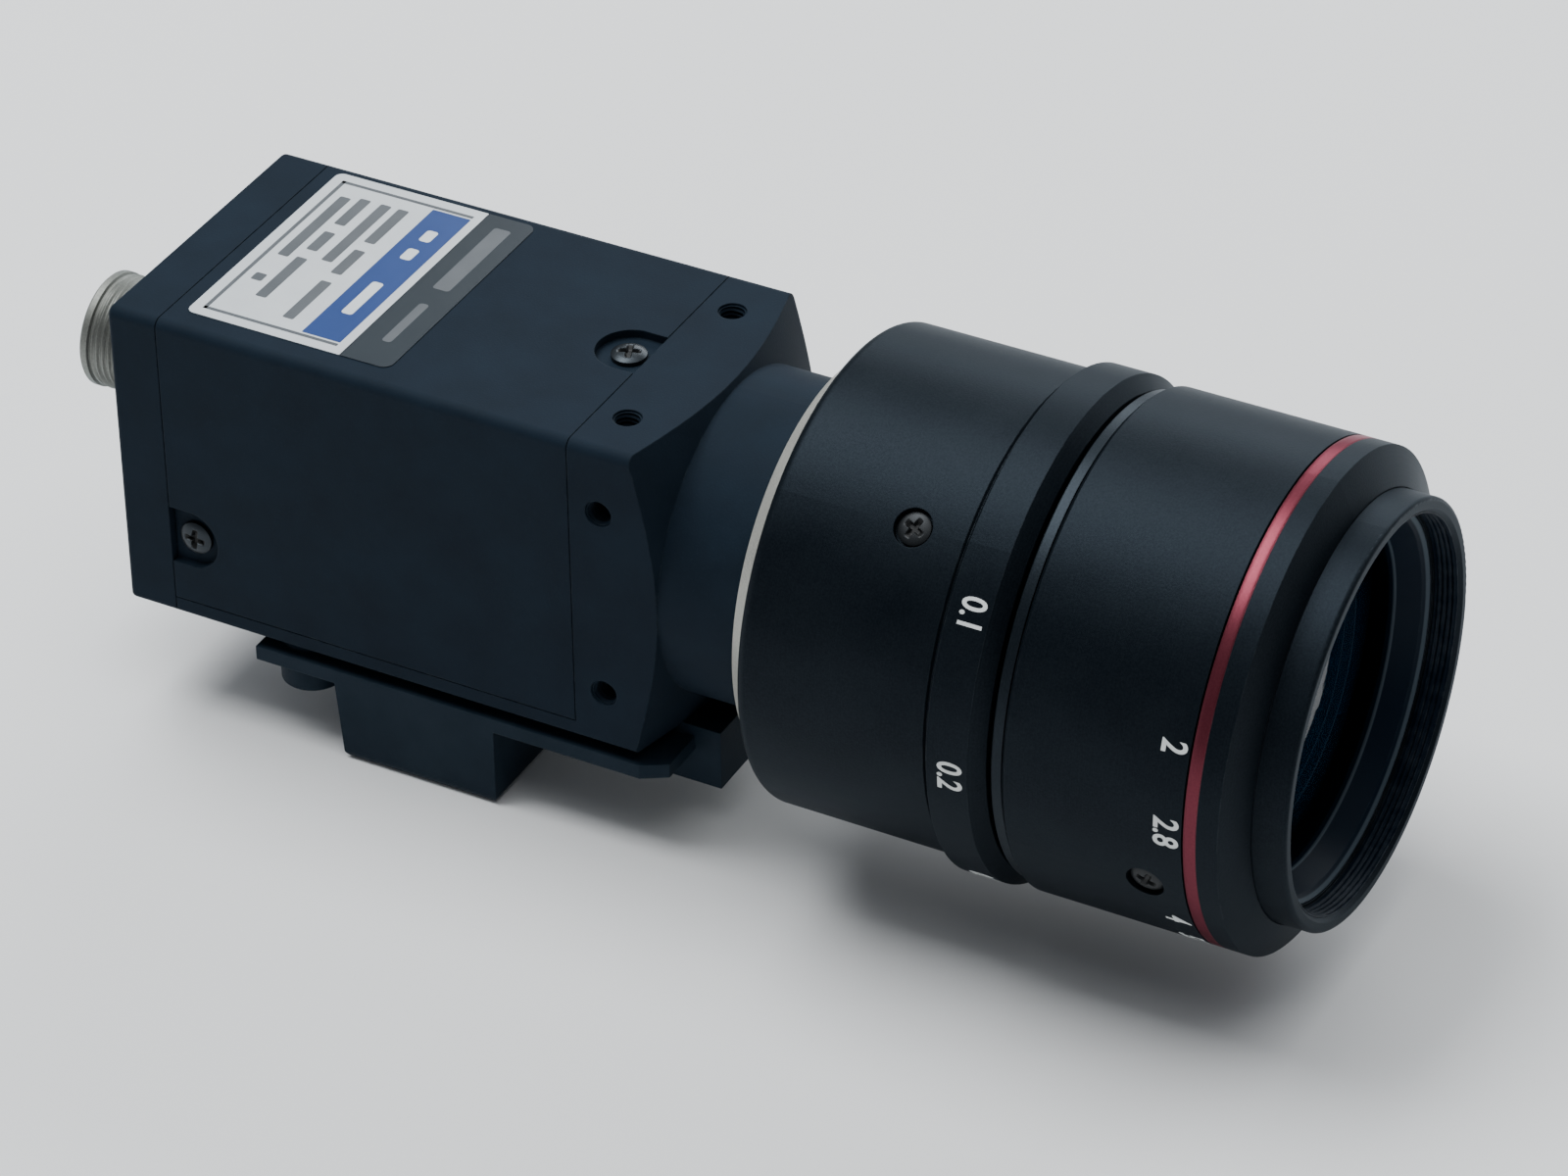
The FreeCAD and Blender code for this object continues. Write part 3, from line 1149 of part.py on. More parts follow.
# ---------------------------------------------------------------------------------------------------
# Lens: sliding barrel with its glass
# ---------------------------------------------------------------------------------------------------
def make_barrel():
    """The barrel that slides in the core, carrying the glass, the iris and the front pieces."""
    barrel = new_piece("inner_barrel", turn=BARREL_TURN)
    brow = "(barrel_flange_radius - barrel_flange_chamfer)"
    turned(barrel, [
        ("barrel_back", "rear_bore"), ("barrel_back", BARREL_RADIUS), ("barrel_flange_start", BARREL_RADIUS),
        ("barrel_flange_start", brow),
        ("barrel_flange_start + barrel_flange_chamfer", "barrel_flange_radius"),
        ("barrel_flange_front", "barrel_flange_radius"), ("barrel_flange_front", "bearing_radius"),
        ("seat_start", "bearing_radius"), ("seat_start", "seat_radius"), ("barrel_front", "seat_radius"),
        ("barrel_front", "iris_bore"), ("iris_floor", "iris_bore"), ("iris_floor", "middle_bore"),
        ("middle_ledge", "middle_bore"), ("middle_ledge", "ledge_bore"), ("rear_ledge", "ledge_bore"),
        ("rear_ledge", "rear_bore")])
    seat = sketch_on(barrel, "XY_Plane", "guide_pin_foot")
    draw_circles(seat, [("guide_pin_ahead", "0")], "guide_pin_radius + glass_clear")
    pocket(barrel, seat, outward=True)
    half = "(drive_pin_radius + drive_slot_clear)"
    groove(barrel, [
        (f"{CAM_MIDDLE} - {half}", "iris_bore - 1"), (f"{CAM_MIDDLE} - {half}", "bearing_radius + 1"),
        (f"{CAM_MIDDLE} + {half}", "bearing_radius + 1"), (f"{CAM_MIDDLE} + {half}", "iris_bore - 1")],
        angle="iris_turn_range + 5")
    pin = new_piece("guide_pin", turn=BARREL_TURN)
    foot = sketch_on(pin, "XY_Plane", "guide_pin_foot")
    draw_circles(foot, [("guide_pin_ahead", "0")], "guide_pin_radius")
    pad(pin, foot, "guide_pin_top - guide_pin_foot")


def bow_radius(half_chord, depth):
    """The radius of an arc that ends level with its middle: it rises by a depth over half its chord."""
    return f"(({half_chord} ^ 2 + {depth} ^ 2) / (2 * {depth}))"


def make_glass():
    """Three glass elements and the rings that hold them."""
    front = new_piece("front_element")
    rim = "(iris_bore - glass_clear)"
    sweep = bow_radius("(front_dome_radius - glass_pole_radius)", "(front_glass_crown - front_glass_edge)")
    hollow = bow_radius(f"({rim} - glass_pole_radius)", "front_glass_hollow")
    turned(front, [
        ("front_glass_back + front_glass_hollow", "0"),
        ("front_glass_back + front_glass_hollow", "glass_pole_radius", f"-{hollow}"),
        ("front_glass_back", rim), ("front_glass_edge", rim),
        ("front_glass_edge", "front_dome_radius", f"-{sweep}"),
        ("front_glass_crown", "glass_pole_radius"), ("front_glass_crown", "0")])
    middle = new_piece("middle_element")
    disc = "(middle_bore - glass_clear)"
    turned(middle, [
        ("middle_ledge", "0"), ("middle_ledge", disc), ("middle_glass_front", disc),
        ("middle_glass_front", "middle_ring_bore"), ("middle_glass_front - middle_glass_hollow", "0")])
    rear = new_piece("rear_element")
    disc = "(rear_bore - glass_clear)"
    turned(rear, [
        ("rear_glass_back", "0"), ("rear_glass_back", disc), ("rear_ledge", disc), ("rear_ledge", "0")])
    for label, back, fore, inner, outer in (
            ("spacer_ring", COVER_RING_FRONT, "front_glass_back", "spacer_bore", "iris_bore - glass_clear"),
            ("middle_retainer", "middle_glass_front", "middle_ring_front", "middle_ring_bore",
             "middle_bore - glass_clear"),
            ("rear_retainer", "barrel_back", "rear_glass_back", "rear_ring_bore", "rear_bore - glass_clear")):
        ring = new_piece(label)
        turned(ring, [(back, inner), (back, outer), (fore, outer), (fore, inner)])
    retainer = new_piece("front_retainer")
    turned(retainer, [
        ("front_glass_edge", "front_dome_radius + 0.1"), ("front_glass_edge", "iris_bore - glass_clear"),
        ("barrel_front", "iris_bore - glass_clear"), ("barrel_front", "front_ring_outer"),
        ("front_ring_front", "front_ring_outer"), ("front_ring_front", "front_ring_outer - 0.15"),
        ("front_ring_shoulder", "front_ring_mouth"), ("front_ring_step", "front_ring_bore"),
        ("front_ring_step - 0.8", "front_ring_bore")])


def make_nose():
    """The red ring, the bevelled nose and the threaded lip at the lens mouth."""
    seat = "(seat_radius + glass_clear)"
    red = new_piece("red_ring")
    turned(red, [
        ("seat_start", seat), ("seat_start", "nose_radius"), ("red_ring_front", "nose_radius"),
        ("red_ring_front", seat)])
    nose = new_piece("nose_ring")
    turned(nose, [
        ("red_ring_front", seat), ("red_ring_front", "nose_radius"), ("nose_corner", "nose_radius"),
        ("nose_front", "nose_mouth"),
        ("barrel_front", "nose_mouth"), ("barrel_front", seat)])
    lip = new_piece("filter_ring")
    turned(lip, [
        ("barrel_front", "lip_seat_bore"), ("barrel_front", "lip_radius"),
        ("lip_front - lip_round", "lip_radius", "-lip_round"), ("lip_front", "lip_radius - lip_round"),
        ("lip_front", "lip_bore + lip_round"), ("lip_front - lip_round", "lip_bore"),
        ("lip_thread_back", "lip_bore"), ("lip_thread_back", "lip_seat_bore")])


# ---------------------------------------------------------------------------------------------------
# Lens: iris
# ---------------------------------------------------------------------------------------------------
def polar(radius, swing):
    """A place at a radius and an angle, as two formulas."""
    return (f"({radius}) * cos({swing})", f"({radius}) * sin({swing})")


def pivot_swing(index):
    """Where a blade's pivot stands round the axis in the iris frame."""
    return f"({360 * index / BLADE_COUNT})"


def make_iris_base():
    """The fixed plate that holds the blade pivots and the ring that closes the iris."""
    base = new_piece("iris_base", turn="iris_screw_turn")
    outline = sketch_on(base, "YZ_Plane", "iris_floor")
    draw_circles(outline, [("0", "0")], "iris_bore - glass_clear")
    draw_circles(outline, [("0", "0")], "iris_aperture")
    pad(base, outline, "iris_base_thick")
    pivots = [polar("blade_pivot", pivot_swing(index)) for index in range(BLADE_COUNT)]
    holes = sketch_on(base, "YZ_Plane", "iris_floor")
    draw_circles(holes, pivots, "blade_pin_radius + blade_pin_clear")
    pocket(base, holes, "iris_base_thick + 1", outward=True)
    ring = new_piece("iris_cover")
    outline = sketch_on(ring, "YZ_Plane", COVER_RING_BACK)
    draw_circles(outline, [("0", "0")], "iris_bore - glass_clear")
    draw_circles(outline, [("0", "0")], "iris_aperture")
    pad(ring, outline, "cover_ring_thick")


def make_blade(index):
    """One crescent blade on its own level, with its pivot pin behind and its drive pin in front."""
    label = f"iris_blade_{index + 1}"
    blade = new_piece(label, turn=f"iris_screw_turn + {pivot_swing(index)}")
    level = f"({BLADES_BACK} + {index} * blade_pitch)"
    crescent = sketch_on(blade, "YZ_Plane", level)
    inner_start, inner_end = polar("blade_inner", "0"), polar("blade_inner", "blade_arc")
    outer_start, outer_end = polar("blade_outer", "0"), polar("blade_outer", "blade_arc")
    tip = "(blade_outer - blade_inner) * 0.55"
    draw_loop(crescent, [
        (*inner_start, "blade_inner"), (*inner_end, f"-{tip}"), (*outer_end, "-blade_outer"), outer_start])
    pad(blade, crescent, "blade_thick")
    ear = sketch_on(blade, "YZ_Plane", level)
    draw_loop(ear, [
        polar("blade_outer - 2", "5"), polar("blade_outer - 2", "-3"), polar("blade_outer", "-10"),
        polar("blade_pivot", "-10"), polar("blade_pivot + 1.6", "-3"), polar("blade_pivot + 1.6", "3")])
    pad(blade, ear, "blade_thick")
    pivot = sketch_on(blade, "YZ_Plane", level)
    draw_circles(pivot, [("blade_pivot", "0")], "blade_pin_radius")
    pad(blade, pivot, f"{level} - iris_floor", reverse=True)
    drive = sketch_on(blade, "YZ_Plane", level)
    draw_circles(drive, [drive_place("0")], "blade_pin_radius")
    pad(blade, drive, f"{CAM_FRONT} - {level} - blade_gap")
    return blade


def drive_place(share):
    """Where a drive pin stands, in its blade's frame at rest, after a share of the blade's swing."""
    aim = f"(drive_angle + blade_swing_angle * {share})"
    return (f"(blade_pivot + drive_reach * cos({aim}))", f"(drive_reach * sin({aim}))")


def cam_slot_corners(index):
    """The outline of one cam slot: the path of a drive pin seen from the turning ring, widened."""
    half = "(blade_pin_radius + blade_pin_clear)"
    outer, inner = [], []
    for step in range(-1, CAM_STEP_COUNT + 2):
        share = min(max(step / CAM_STEP_COUNT, 0.0), 1.0)
        across, up = drive_place(share)
        radius = f"sqrt({across} ^ 2 + {up} ^ 2)"
        end = (step > CAM_STEP_COUNT) - (step < 0)
        lies, widens = f"atan2({up}; {across}) / (1 deg)", f"asin({half} / {radius}) / (1 deg)"
        swing = f"({lies} - iris_turn_range * {share} - {end} * {widens} + {pivot_swing(index)})"
        outer.append(polar(f"{radius} + {half}", swing))
        inner.append(polar(f"{radius} - {half}", swing))
    return outer + inner[::-1]


def make_cam_ring():
    """The ring behind the iris cover whose slanted slots push the blades' drive pins."""
    cam = new_piece("iris_cam_ring", turn="iris_screw_turn")
    outline = sketch_on(cam, "YZ_Plane", CAM_BACK)
    draw_circles(outline, [("0", "0")], "iris_bore - cam_clear")
    draw_circles(outline, [("0", "0")], "iris_aperture")
    pad(cam, outline, "cam_thick")
    for index in range(BLADE_COUNT):
        slot = sketch_on(cam, "YZ_Plane", CAM_BACK)
        draw_loop(slot, cam_slot_corners(index))
        pocket(cam, slot, "cam_thick + 1", outward=True)
    socket = sketch_on(cam, "XY_Plane", "-drive_pin_foot")
    draw_circles(socket, [(CAM_MIDDLE, "0")], "drive_pin_radius + glass_clear")
    pocket(cam, socket)


def make_iris_ring():
    """The outer ring that turns the iris, its lock screw and the pin that carries its turn inside."""
    ring = new_piece("iris_ring", turn="iris_screw_turn")
    bore = "iris_ring_bore"
    turned(ring, [
        ("iris_ring_start", bore), ("iris_ring_start", "iris_ring_radius - iris_rim_chamfer"),
        ("iris_ring_start + iris_rim_chamfer", "iris_ring_radius"),
        ("iris_ring_front", "iris_ring_radius"), ("iris_ring_front", bore)])
    cut_lock_seat(ring, "iris_screw_ahead", "iris_ring_radius")
    socket = sketch_on(ring, "XY_Plane", "-drive_pin_top")
    draw_circles(socket, [(CAM_MIDDLE, "0")], "drive_pin_radius + glass_clear")
    pocket(ring, socket, f"drive_pin_top - {bore} + 1", outward=True)
    screw = new_piece("iris_lock_screw", turn="iris_screw_turn")
    make_lock_screw(screw, "iris_screw_ahead", "iris_ring_radius", f"{bore} + lock_tip_clear")
    pin = new_piece("iris_drive_pin", turn="iris_screw_turn")
    foot = sketch_on(pin, "XY_Plane", "-drive_pin_top")
    draw_circles(foot, [(CAM_MIDDLE, "0")], "drive_pin_radius")
    pad(pin, foot, "drive_pin_top - drive_pin_foot")


def build():
    """Make every piece, check it and write its file."""
    make_front_housing()
    make_body_cover()
    make_rear_cover()
    make_cover_screws()
    make_rear_screws()
    make_connector()
    make_window()
    make_boards()
    make_labels()
    make_foot()
    make_foot_screws()
    make_lens_fixed()
    make_focus_ring()
    make_barrel()
    make_glass()
    make_nose()
    make_iris_base()
    for index in range(BLADE_COUNT):
        make_blade(index)
    make_cam_ring()
    make_iris_ring()
    doc.recompute()
    failed = [thing.Name for thing in doc.Objects if {"Invalid", "Error"} & set(thing.State)]
    if failed:
        raise RuntimeError("these objects did not compute: " + ", ".join(failed))
    os.makedirs("parts", exist_ok=True)
    for piece in PIECES:
        shape = piece.Shape
        if shape.isNull() or not shape.isValid() or not shape.Solids:
            raise RuntimeError(f"{piece.Label} is not a valid solid")
        shape.exportStep(f"parts/{piece.Label}.step")
        print(f"{piece.Label}: {len(shape.Solids)} solid(s), {shape.Volume:.1f} mm3")


build()
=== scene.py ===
"""Looks of a machine vision camera with a large manual lens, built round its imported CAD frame.

Every place is in metres in the frame of the part: X along the optical axis, Z up from the foot.
"""
import sys

import json
import logging
import math
from dataclasses import dataclass, replace
from enum import Enum
from typing import Any, Dict, List, Optional, Sequence, Tuple, Union

import bmesh
import bpy
from mathutils import Matrix, Vector

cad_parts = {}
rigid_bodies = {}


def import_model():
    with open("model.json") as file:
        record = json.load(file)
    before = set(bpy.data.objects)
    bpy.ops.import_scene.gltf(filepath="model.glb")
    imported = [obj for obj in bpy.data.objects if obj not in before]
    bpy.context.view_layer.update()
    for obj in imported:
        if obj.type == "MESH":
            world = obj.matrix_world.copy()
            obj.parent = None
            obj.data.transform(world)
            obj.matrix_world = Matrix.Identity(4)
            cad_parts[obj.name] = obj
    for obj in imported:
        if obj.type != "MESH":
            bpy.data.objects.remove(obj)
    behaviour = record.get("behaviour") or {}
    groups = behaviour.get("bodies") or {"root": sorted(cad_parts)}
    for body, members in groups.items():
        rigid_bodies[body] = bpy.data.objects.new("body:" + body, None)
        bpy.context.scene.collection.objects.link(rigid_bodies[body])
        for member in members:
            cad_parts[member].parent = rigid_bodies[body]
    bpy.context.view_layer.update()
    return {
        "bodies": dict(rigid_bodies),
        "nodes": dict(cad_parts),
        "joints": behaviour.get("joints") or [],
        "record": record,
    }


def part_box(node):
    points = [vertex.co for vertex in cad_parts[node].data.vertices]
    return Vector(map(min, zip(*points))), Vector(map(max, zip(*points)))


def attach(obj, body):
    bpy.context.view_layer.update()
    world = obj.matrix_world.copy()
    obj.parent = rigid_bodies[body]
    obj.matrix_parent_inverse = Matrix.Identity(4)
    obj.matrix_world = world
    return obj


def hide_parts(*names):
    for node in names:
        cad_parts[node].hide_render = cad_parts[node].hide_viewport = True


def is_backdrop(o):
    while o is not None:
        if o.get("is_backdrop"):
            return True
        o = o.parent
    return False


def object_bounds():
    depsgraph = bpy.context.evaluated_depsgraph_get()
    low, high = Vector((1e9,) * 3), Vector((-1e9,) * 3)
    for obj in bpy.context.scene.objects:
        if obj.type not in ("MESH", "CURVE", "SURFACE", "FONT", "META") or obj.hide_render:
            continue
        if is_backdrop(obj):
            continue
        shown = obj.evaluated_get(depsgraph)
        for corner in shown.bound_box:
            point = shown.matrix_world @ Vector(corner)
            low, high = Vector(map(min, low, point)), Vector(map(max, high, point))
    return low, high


LOG = logging.getLogger("vision_camera")
MM = 0.001
FULL_TURN = 2.0 * math.pi
COOL_TINT = (0.86, 0.94, 1.0, 1.0)
PLAIN_TINT = (1.0, 1.0, 1.0, 1.0)
CLOUDS = (0.3, 0.7)  # the span of a soft noise that counts as clouds of tone

UP, DOWN = Vector((0.0, 0.0, 1.0)), Vector((0.0, 0.0, -1.0))
NEAR, FAR = Vector((0.0, -1.0, 0.0)), Vector((0.0, 1.0, 0.0))
REAR = Vector((-1.0, 0.0, 0.0))

Color = Tuple[float, float, float]
Point = Tuple[float, float, float]
Span = Tuple[float, float]
Mesh = bmesh.types.BMesh
Vert = bmesh.types.BMVert
Material = bpy.types.Material


class Body(Enum):
    """The moving groups of the camera."""

    HEAD = "head"
    FOCUS_GRIP = "focus_grip"
    OPTICS_UNIT = "optics_unit"
    IRIS_GRIP = "iris_grip"


class Slot(Enum):
    """The finishes that the part's record names."""

    PAINT = "housing_paint"
    BLACK = "black_anodised"
    NICKEL = "connector_metal"
    STEEL = "screw_steel"
    LABEL = "label_film"
    STRIP = "strip_film"


# Shader maths
class Signal:
    """A number, colour or vector that varies over a surface: one output socket and its tree."""

    def __init__(self, board: "NodeBoard", socket: bpy.types.NodeSocket) -> None:
        """Keep the socket and the board it belongs to."""
        self.board = board
        self.socket = socket

    def _math(self, operation: str, first: "Value", second: "Value") -> "Signal":
        """Add one Math node and return its result."""
        return self.board.add("ShaderNodeMath", {"operation": operation}, {0: first, 1: second})

    def __add__(self, other: "Value") -> "Signal":
        """Sum."""
        return self._math("ADD", self, other)

    def __radd__(self, other: "Value") -> "Signal":
        """Sum with a number in front."""
        return self._math("ADD", other, self)

    def __sub__(self, other: "Value") -> "Signal":
        """Difference."""
        return self._math("SUBTRACT", self, other)

    def __rsub__(self, other: "Value") -> "Signal":
        """Difference from a number."""
        return self._math("SUBTRACT", other, self)

    def __mul__(self, other: "Value") -> "Signal":
        """Product."""
        return self._math("MULTIPLY", self, other)

    def __rmul__(self, other: "Value") -> "Signal":
        """Product with a number in front."""
        return self._math("MULTIPLY", other, self)

    def __pow__(self, other: "Value") -> "Signal":
        """Power."""
        return self._math("POWER", self, other)


Value = Union[float, Signal]
Paint = Union[Color, Signal]


class NodeBoard:
    """The nodes of one material, and the few ways in which they are added."""

    def __init__(self, name: str) -> None:
        """Start an empty material of that name."""
        self.material = bpy.data.materials.new(name)
        self.material.use_nodes = True
        self.tree = self.material.node_tree
        self.tree.nodes.clear()

    def node(self, kind: str, settings: Dict[str, Any], inputs: Dict[Any, Any]) -> bpy.types.Node:
        """Add a node.

        Args:
            kind: the node's type.
            settings: its own settings, set first.
            inputs: numbers, vectors or signals for its sockets, by name or place.

        Returns:
            The new node.
        """
        made = self.tree.nodes.new(kind)
        for key, setting in settings.items():
            setattr(made, key, setting)
        for key, value in inputs.items():
            if isinstance(value, Signal):
                self.tree.links.new(value.socket, made.inputs[key])
            else:
                made.inputs[key].default_value = value
        return made

    def add(self, kind: str, settings: Dict[str, Any], inputs: Dict[Any, Any],
            output: Any = 0) -> Signal:
        """Add a node and return one of its outputs as a signal."""
        return Signal(self, self.node(kind, settings, inputs).outputs[output])

    def place(self) -> Signal:
        """The point on the surface, in the piece's own frame."""
        return self.add("ShaderNodeTexCoord", {}, {}, "Object")

    def noise(self, grain: float, detail: float = 2.0, at: Optional[Signal] = None) -> Signal:
        """Soft noise from 0 to 1 whose lumps are about one grain across, in metres."""
        return self.add("ShaderNodeTexNoise", {}, {
            "Vector": at or self.place(), "Scale": 1.0 / grain, "Detail": detail,
            "Roughness": 0.55})

    def spread(self, signal: Signal, low: float, high: float, to_low: float = 0.0,
               to_high: float = 1.0) -> Signal:
        """A signal stretched from one range to another and held inside it."""
        return self.add("ShaderNodeMapRange", {"clamp": True}, {
            0: signal, 1: low, 2: high, 3: to_low, 4: to_high})

    def blend(self, share: Value, first: Paint, second: Paint) -> Signal:
        """Two colours mixed by a share."""
        low, high = (end if isinstance(end, Signal) else (*end, 1.0) for end in (first, second))
        return self.add("ShaderNodeMix", {"data_type": "RGBA"}, {0: share, 6: low, 7: high}, 2)

    def soft_edges(self, radius: float) -> Signal:
        """Surface normals that turn smoothly round the edges."""
        return self.add("ShaderNodeBevel", {"samples": 4}, {"Radius": radius})

    def edge_share(self, rounded: Signal) -> Signal:
        """How near an edge the point is, from 0 on the flats to 1 on the very edge."""
        flat = self.add("ShaderNodeNewGeometry", {}, {}, "Normal")
        return self.spread(1.0 - self.add("ShaderNodeVectorMath", {"operation": "DOT_PRODUCT"}, {
            0: rounded, 1: flat}, "Value"), 0.004, 0.12)

    def bump(self, height: Signal, reach: float, normal: Optional[Signal] = None,
             strength: float = 1.0) -> Signal:
        """Normals bent by a height field whose full depth is the reach, in metres."""
        inputs: Dict[Any, Any] = {"Height": height, "Distance": reach, "Strength": strength}
        if normal:
            inputs["Normal"] = normal
        return self.add("ShaderNodeBump", {}, inputs)

    def turned_place(self, axis_up: float) -> Tuple[Signal, Signal]:
        """How far a point is along the lens and from its axis, which lies that high."""
        parts = self.node("ShaderNodeSeparateXYZ", {}, {0: self.place()})
        along, side, up = (Signal(self, parts.outputs[part]) for part in range(3))
        return along, (side ** 2.0 + (up - axis_up) ** 2.0) ** 0.5

    def finish(self, others: Dict[str, Any], color: Signal, rough: Signal,
               normal: Optional[Signal] = None) -> Material:
        """Join everything in one shader.

        Args:
            others: values of its other sockets, by name.
            color: the base colour.
            rough: the roughness.
            normal: the bent normals, if any.

        Returns:
            The finished material.
        """
        inputs = {**others, "Base Color": color, "Roughness": rough}
        if normal:
            inputs["Normal"] = normal
        shader = self.node("ShaderNodeBsdfPrincipled", {}, inputs)
        self.node("ShaderNodeOutputMaterial", {}, {0: Signal(self, shader.outputs[0])})
        return self.material


# Finishes
def scaled(color: Color, share: float) -> Color:
    """A colour made darker or paler."""
    return (share * color[0], share * color[1], share * color[2])


@dataclass(frozen=True)
class Finish:
    """What every finish has: a name and one material made on first use."""

    name: str

    def paint(self, board: NodeBoard) -> Material:
        """Lay the finish out on an empty board."""
        raise NotImplementedError

    def material(self) -> Material:
        """The finish's one material."""
        title = f"{self.name}_look"
        return bpy.data.materials.get(title) or self.paint(NodeBoard(title))


@dataclass(frozen=True)
class TexturedPaint(Finish):
    """Fine textured paint on a casting, a little paler where edges have rubbed."""

    color: Color = (0.0078, 0.0138, 0.0222)
    rubbed: Color = (0.036, 0.048, 0.058)
    tones: Tuple[float, float, float] = (0.88, 1.14, 1.7)  # dark and pale clouds, specks
    grain: float = 0.32 * MM
    depth: float = 0.030 * MM
    clouds: float = 9.0 * MM
    scuffs: float = 1.7 * MM
    edge: float = 0.28 * MM
    roughness: float = 0.64
    specular: float = 0.06
    wear: float = 0.55

    def paint(self, board: NodeBoard) -> Material:
        """Grainy bumps, faint clouds of tone, worn edges."""
        grain = board.noise(self.grain, 3.0)
        clouds = board.noise(self.clouds, 3.0)
        rounded = board.soft_edges(self.edge)
        rub = board.edge_share(rounded) * board.spread(board.noise(self.scuffs, 4.0), 0.42, 0.70)
        dark, pale, speck = (scaled(self.color, share) for share in self.tones)
        tone = board.blend(board.spread(clouds, *CLOUDS), dark, pale)
        specked = board.blend(board.spread(grain, 0.55, 0.78, 0.0, 0.35), tone, speck)
        rough = self.roughness + 0.12 * (grain - 0.5) + 0.08 * (clouds - 0.5)
        return board.finish({"Specular IOR Level": self.specular, "Specular Tint": COOL_TINT},
                            board.blend(rub * self.wear, specked, self.rubbed), rough,
                            board.bump(grain, self.depth, rounded, 0.75))


@dataclass(frozen=True)
class TurnedMetal(Finish):
    """A surface turned on a lathe: fine rings round an axis under a blasted or bare finish."""

    color: Color = (0.0020, 0.0058, 0.0098)
    second: Color = (0.0031, 0.0076, 0.0124)
    axis_up: float = 0.0415
    roughness: float = 0.40
    metallic: float = 0.0
    ring_pitch: float = 0.11 * MM
    face_share: float = 1.31  # rings on a face, against rings along the axis
    ring_depth: float = 0.004 * MM
    blast: float = 0.30 * MM
    blast_depth: float = 0.012 * MM
    handling: float = 11.0 * MM
    scuffs: float = 2.3 * MM
    edge: float = 0.18 * MM
    # Rubbed edges take this colour: partly real wear, partly painted highlight where chamfers catch
    # the light.
    wear_and_glint: Color = (0.030, 0.038, 0.045)
    wear: float = 0.30
    specular: float = 0.20
    tint: Tuple[float, ...] = COOL_TINT
    # Places along the axis of thin painted highlight lines, where turned steps catch the light.
    highlight_lines: Tuple[float, ...] = ()
    highlight_half: float = 0.28 * MM

    def paint(self, board: NodeBoard) -> Material:
        """Rings by distance along and from the axis, blasted grain, edges brightened partly as wear
        and partly as painted highlight, and thin painted highlight lines.
        """
        along, across = board.turned_place(self.axis_up)
        rings = board.add("ShaderNodeTexNoise", {"noise_dimensions": "1D"}, {
            "W": (along + self.face_share * across) * (1.0 / self.ring_pitch), "Scale": 1.0,
            "Detail": 2.0})
        blast = board.noise(self.blast, 2.0)
        handling = board.noise(self.handling, 4.0)
        rounded = board.soft_edges(self.edge)
        rub = board.edge_share(rounded) * board.spread(board.noise(self.scuffs, 4.0), 0.40, 0.72)
        tone = board.blend(board.spread(0.25 * rings + 0.30 * handling + 0.45 * blast, 0.37, 0.63),
                           self.color, self.second)
        # Edges lightened partly as wear, partly as painted highlight.
        color = board.blend(rub * self.wear, tone, self.wear_and_glint)
        # Thin painted highlight lines at those places, in the edge colour.
        for place in self.highlight_lines:
            away = ((along - place) ** 2.0) ** 0.5
            line = board.spread(away, 0.5 * self.highlight_half, self.highlight_half, 1.0, 0.0)
            color = board.blend(line, color, self.wear_and_glint)
        rough = self.roughness + 0.10 * (handling - 0.5) + 0.08 * (rings - 0.5)
        grooves = board.bump(rings, self.ring_depth, rounded, 0.8)
        return board.finish({"Metallic": self.metallic, "Specular IOR Level": self.specular,
                             "Specular Tint": self.tint}, color, rough,
                            board.bump(blast, self.blast_depth, grooves, 0.8))


@dataclass(frozen=True)
class BrushedSteel(Finish):
    """Small steel parts with short scratches and rubbed edges."""

    color: Color = (0.018, 0.023, 0.028)
    bright: Color = (0.10, 0.11, 0.12)
    roughness: float = 0.36
    metallic: float = 0.7
    scratch: float = 0.10 * MM
    scratch_depth: float = 0.004 * MM
    stains: float = 0.9 * MM
    edge: float = 0.10 * MM
    stretch: Point = (1.0, 1.0, 1.0)

    def paint(self, board: NodeBoard) -> Material:
        """Scratches from stretched noise, brighter where edges have rubbed."""
        drawn = board.add("ShaderNodeVectorMath", {"operation": "MULTIPLY"}, {
            0: board.place(), 1: self.stretch})
        scratches = board.noise(self.scratch, 3.0, drawn)
        stains = board.noise(self.stains, 3.0)
        rounded = board.soft_edges(self.edge)
        rub = board.edge_share(rounded) * board.spread(stains, 0.35, 0.65)
        color = board.blend(0.25 * scratches + 0.55 * rub, self.color, self.bright)
        rough = self.roughness + 0.18 * (scratches - 0.5)
        return board.finish({"Metallic": self.metallic}, color, rough,
                            board.bump(scratches, self.scratch_depth, rounded, 0.8))


@dataclass(frozen=True)
class Moulding(Finish):
    """Moulded plastic or rubber with an eroded mould texture."""

    color: Color = (0.0074, 0.0148, 0.0240)
    pale: Color = (0.0150, 0.0250, 0.0365)
    grain: float = 0.45 * MM
    depth: float = 0.022 * MM
    clouds: float = 7.0 * MM
    roughness: float = 0.55
    specular: float = 0.08
    edge: float = 0.25 * MM

    def paint(self, board: NodeBoard) -> Material:
        """Mould texture, clouds of tone and rounded edges."""
        pits = board.add("ShaderNodeTexVoronoi", {"feature": "SMOOTH_F1"}, {
            "Vector": board.place(), "Scale": 1.0 / self.grain})
        clouds = board.noise(self.clouds, 4.0)
        rounded = board.soft_edges(self.edge)
        rub = board.edge_share(rounded)
        color = board.blend(0.6 * board.spread(clouds, *CLOUDS) + 0.4 * rub, self.color, self.pale)
        rough = self.roughness + 0.14 * (clouds - 0.5) - 0.10 * rub
        return board.finish({"Specular IOR Level": self.specular, "Specular Tint": COOL_TINT},
                            color, rough, board.bump(pits, self.depth, rounded, 0.6))


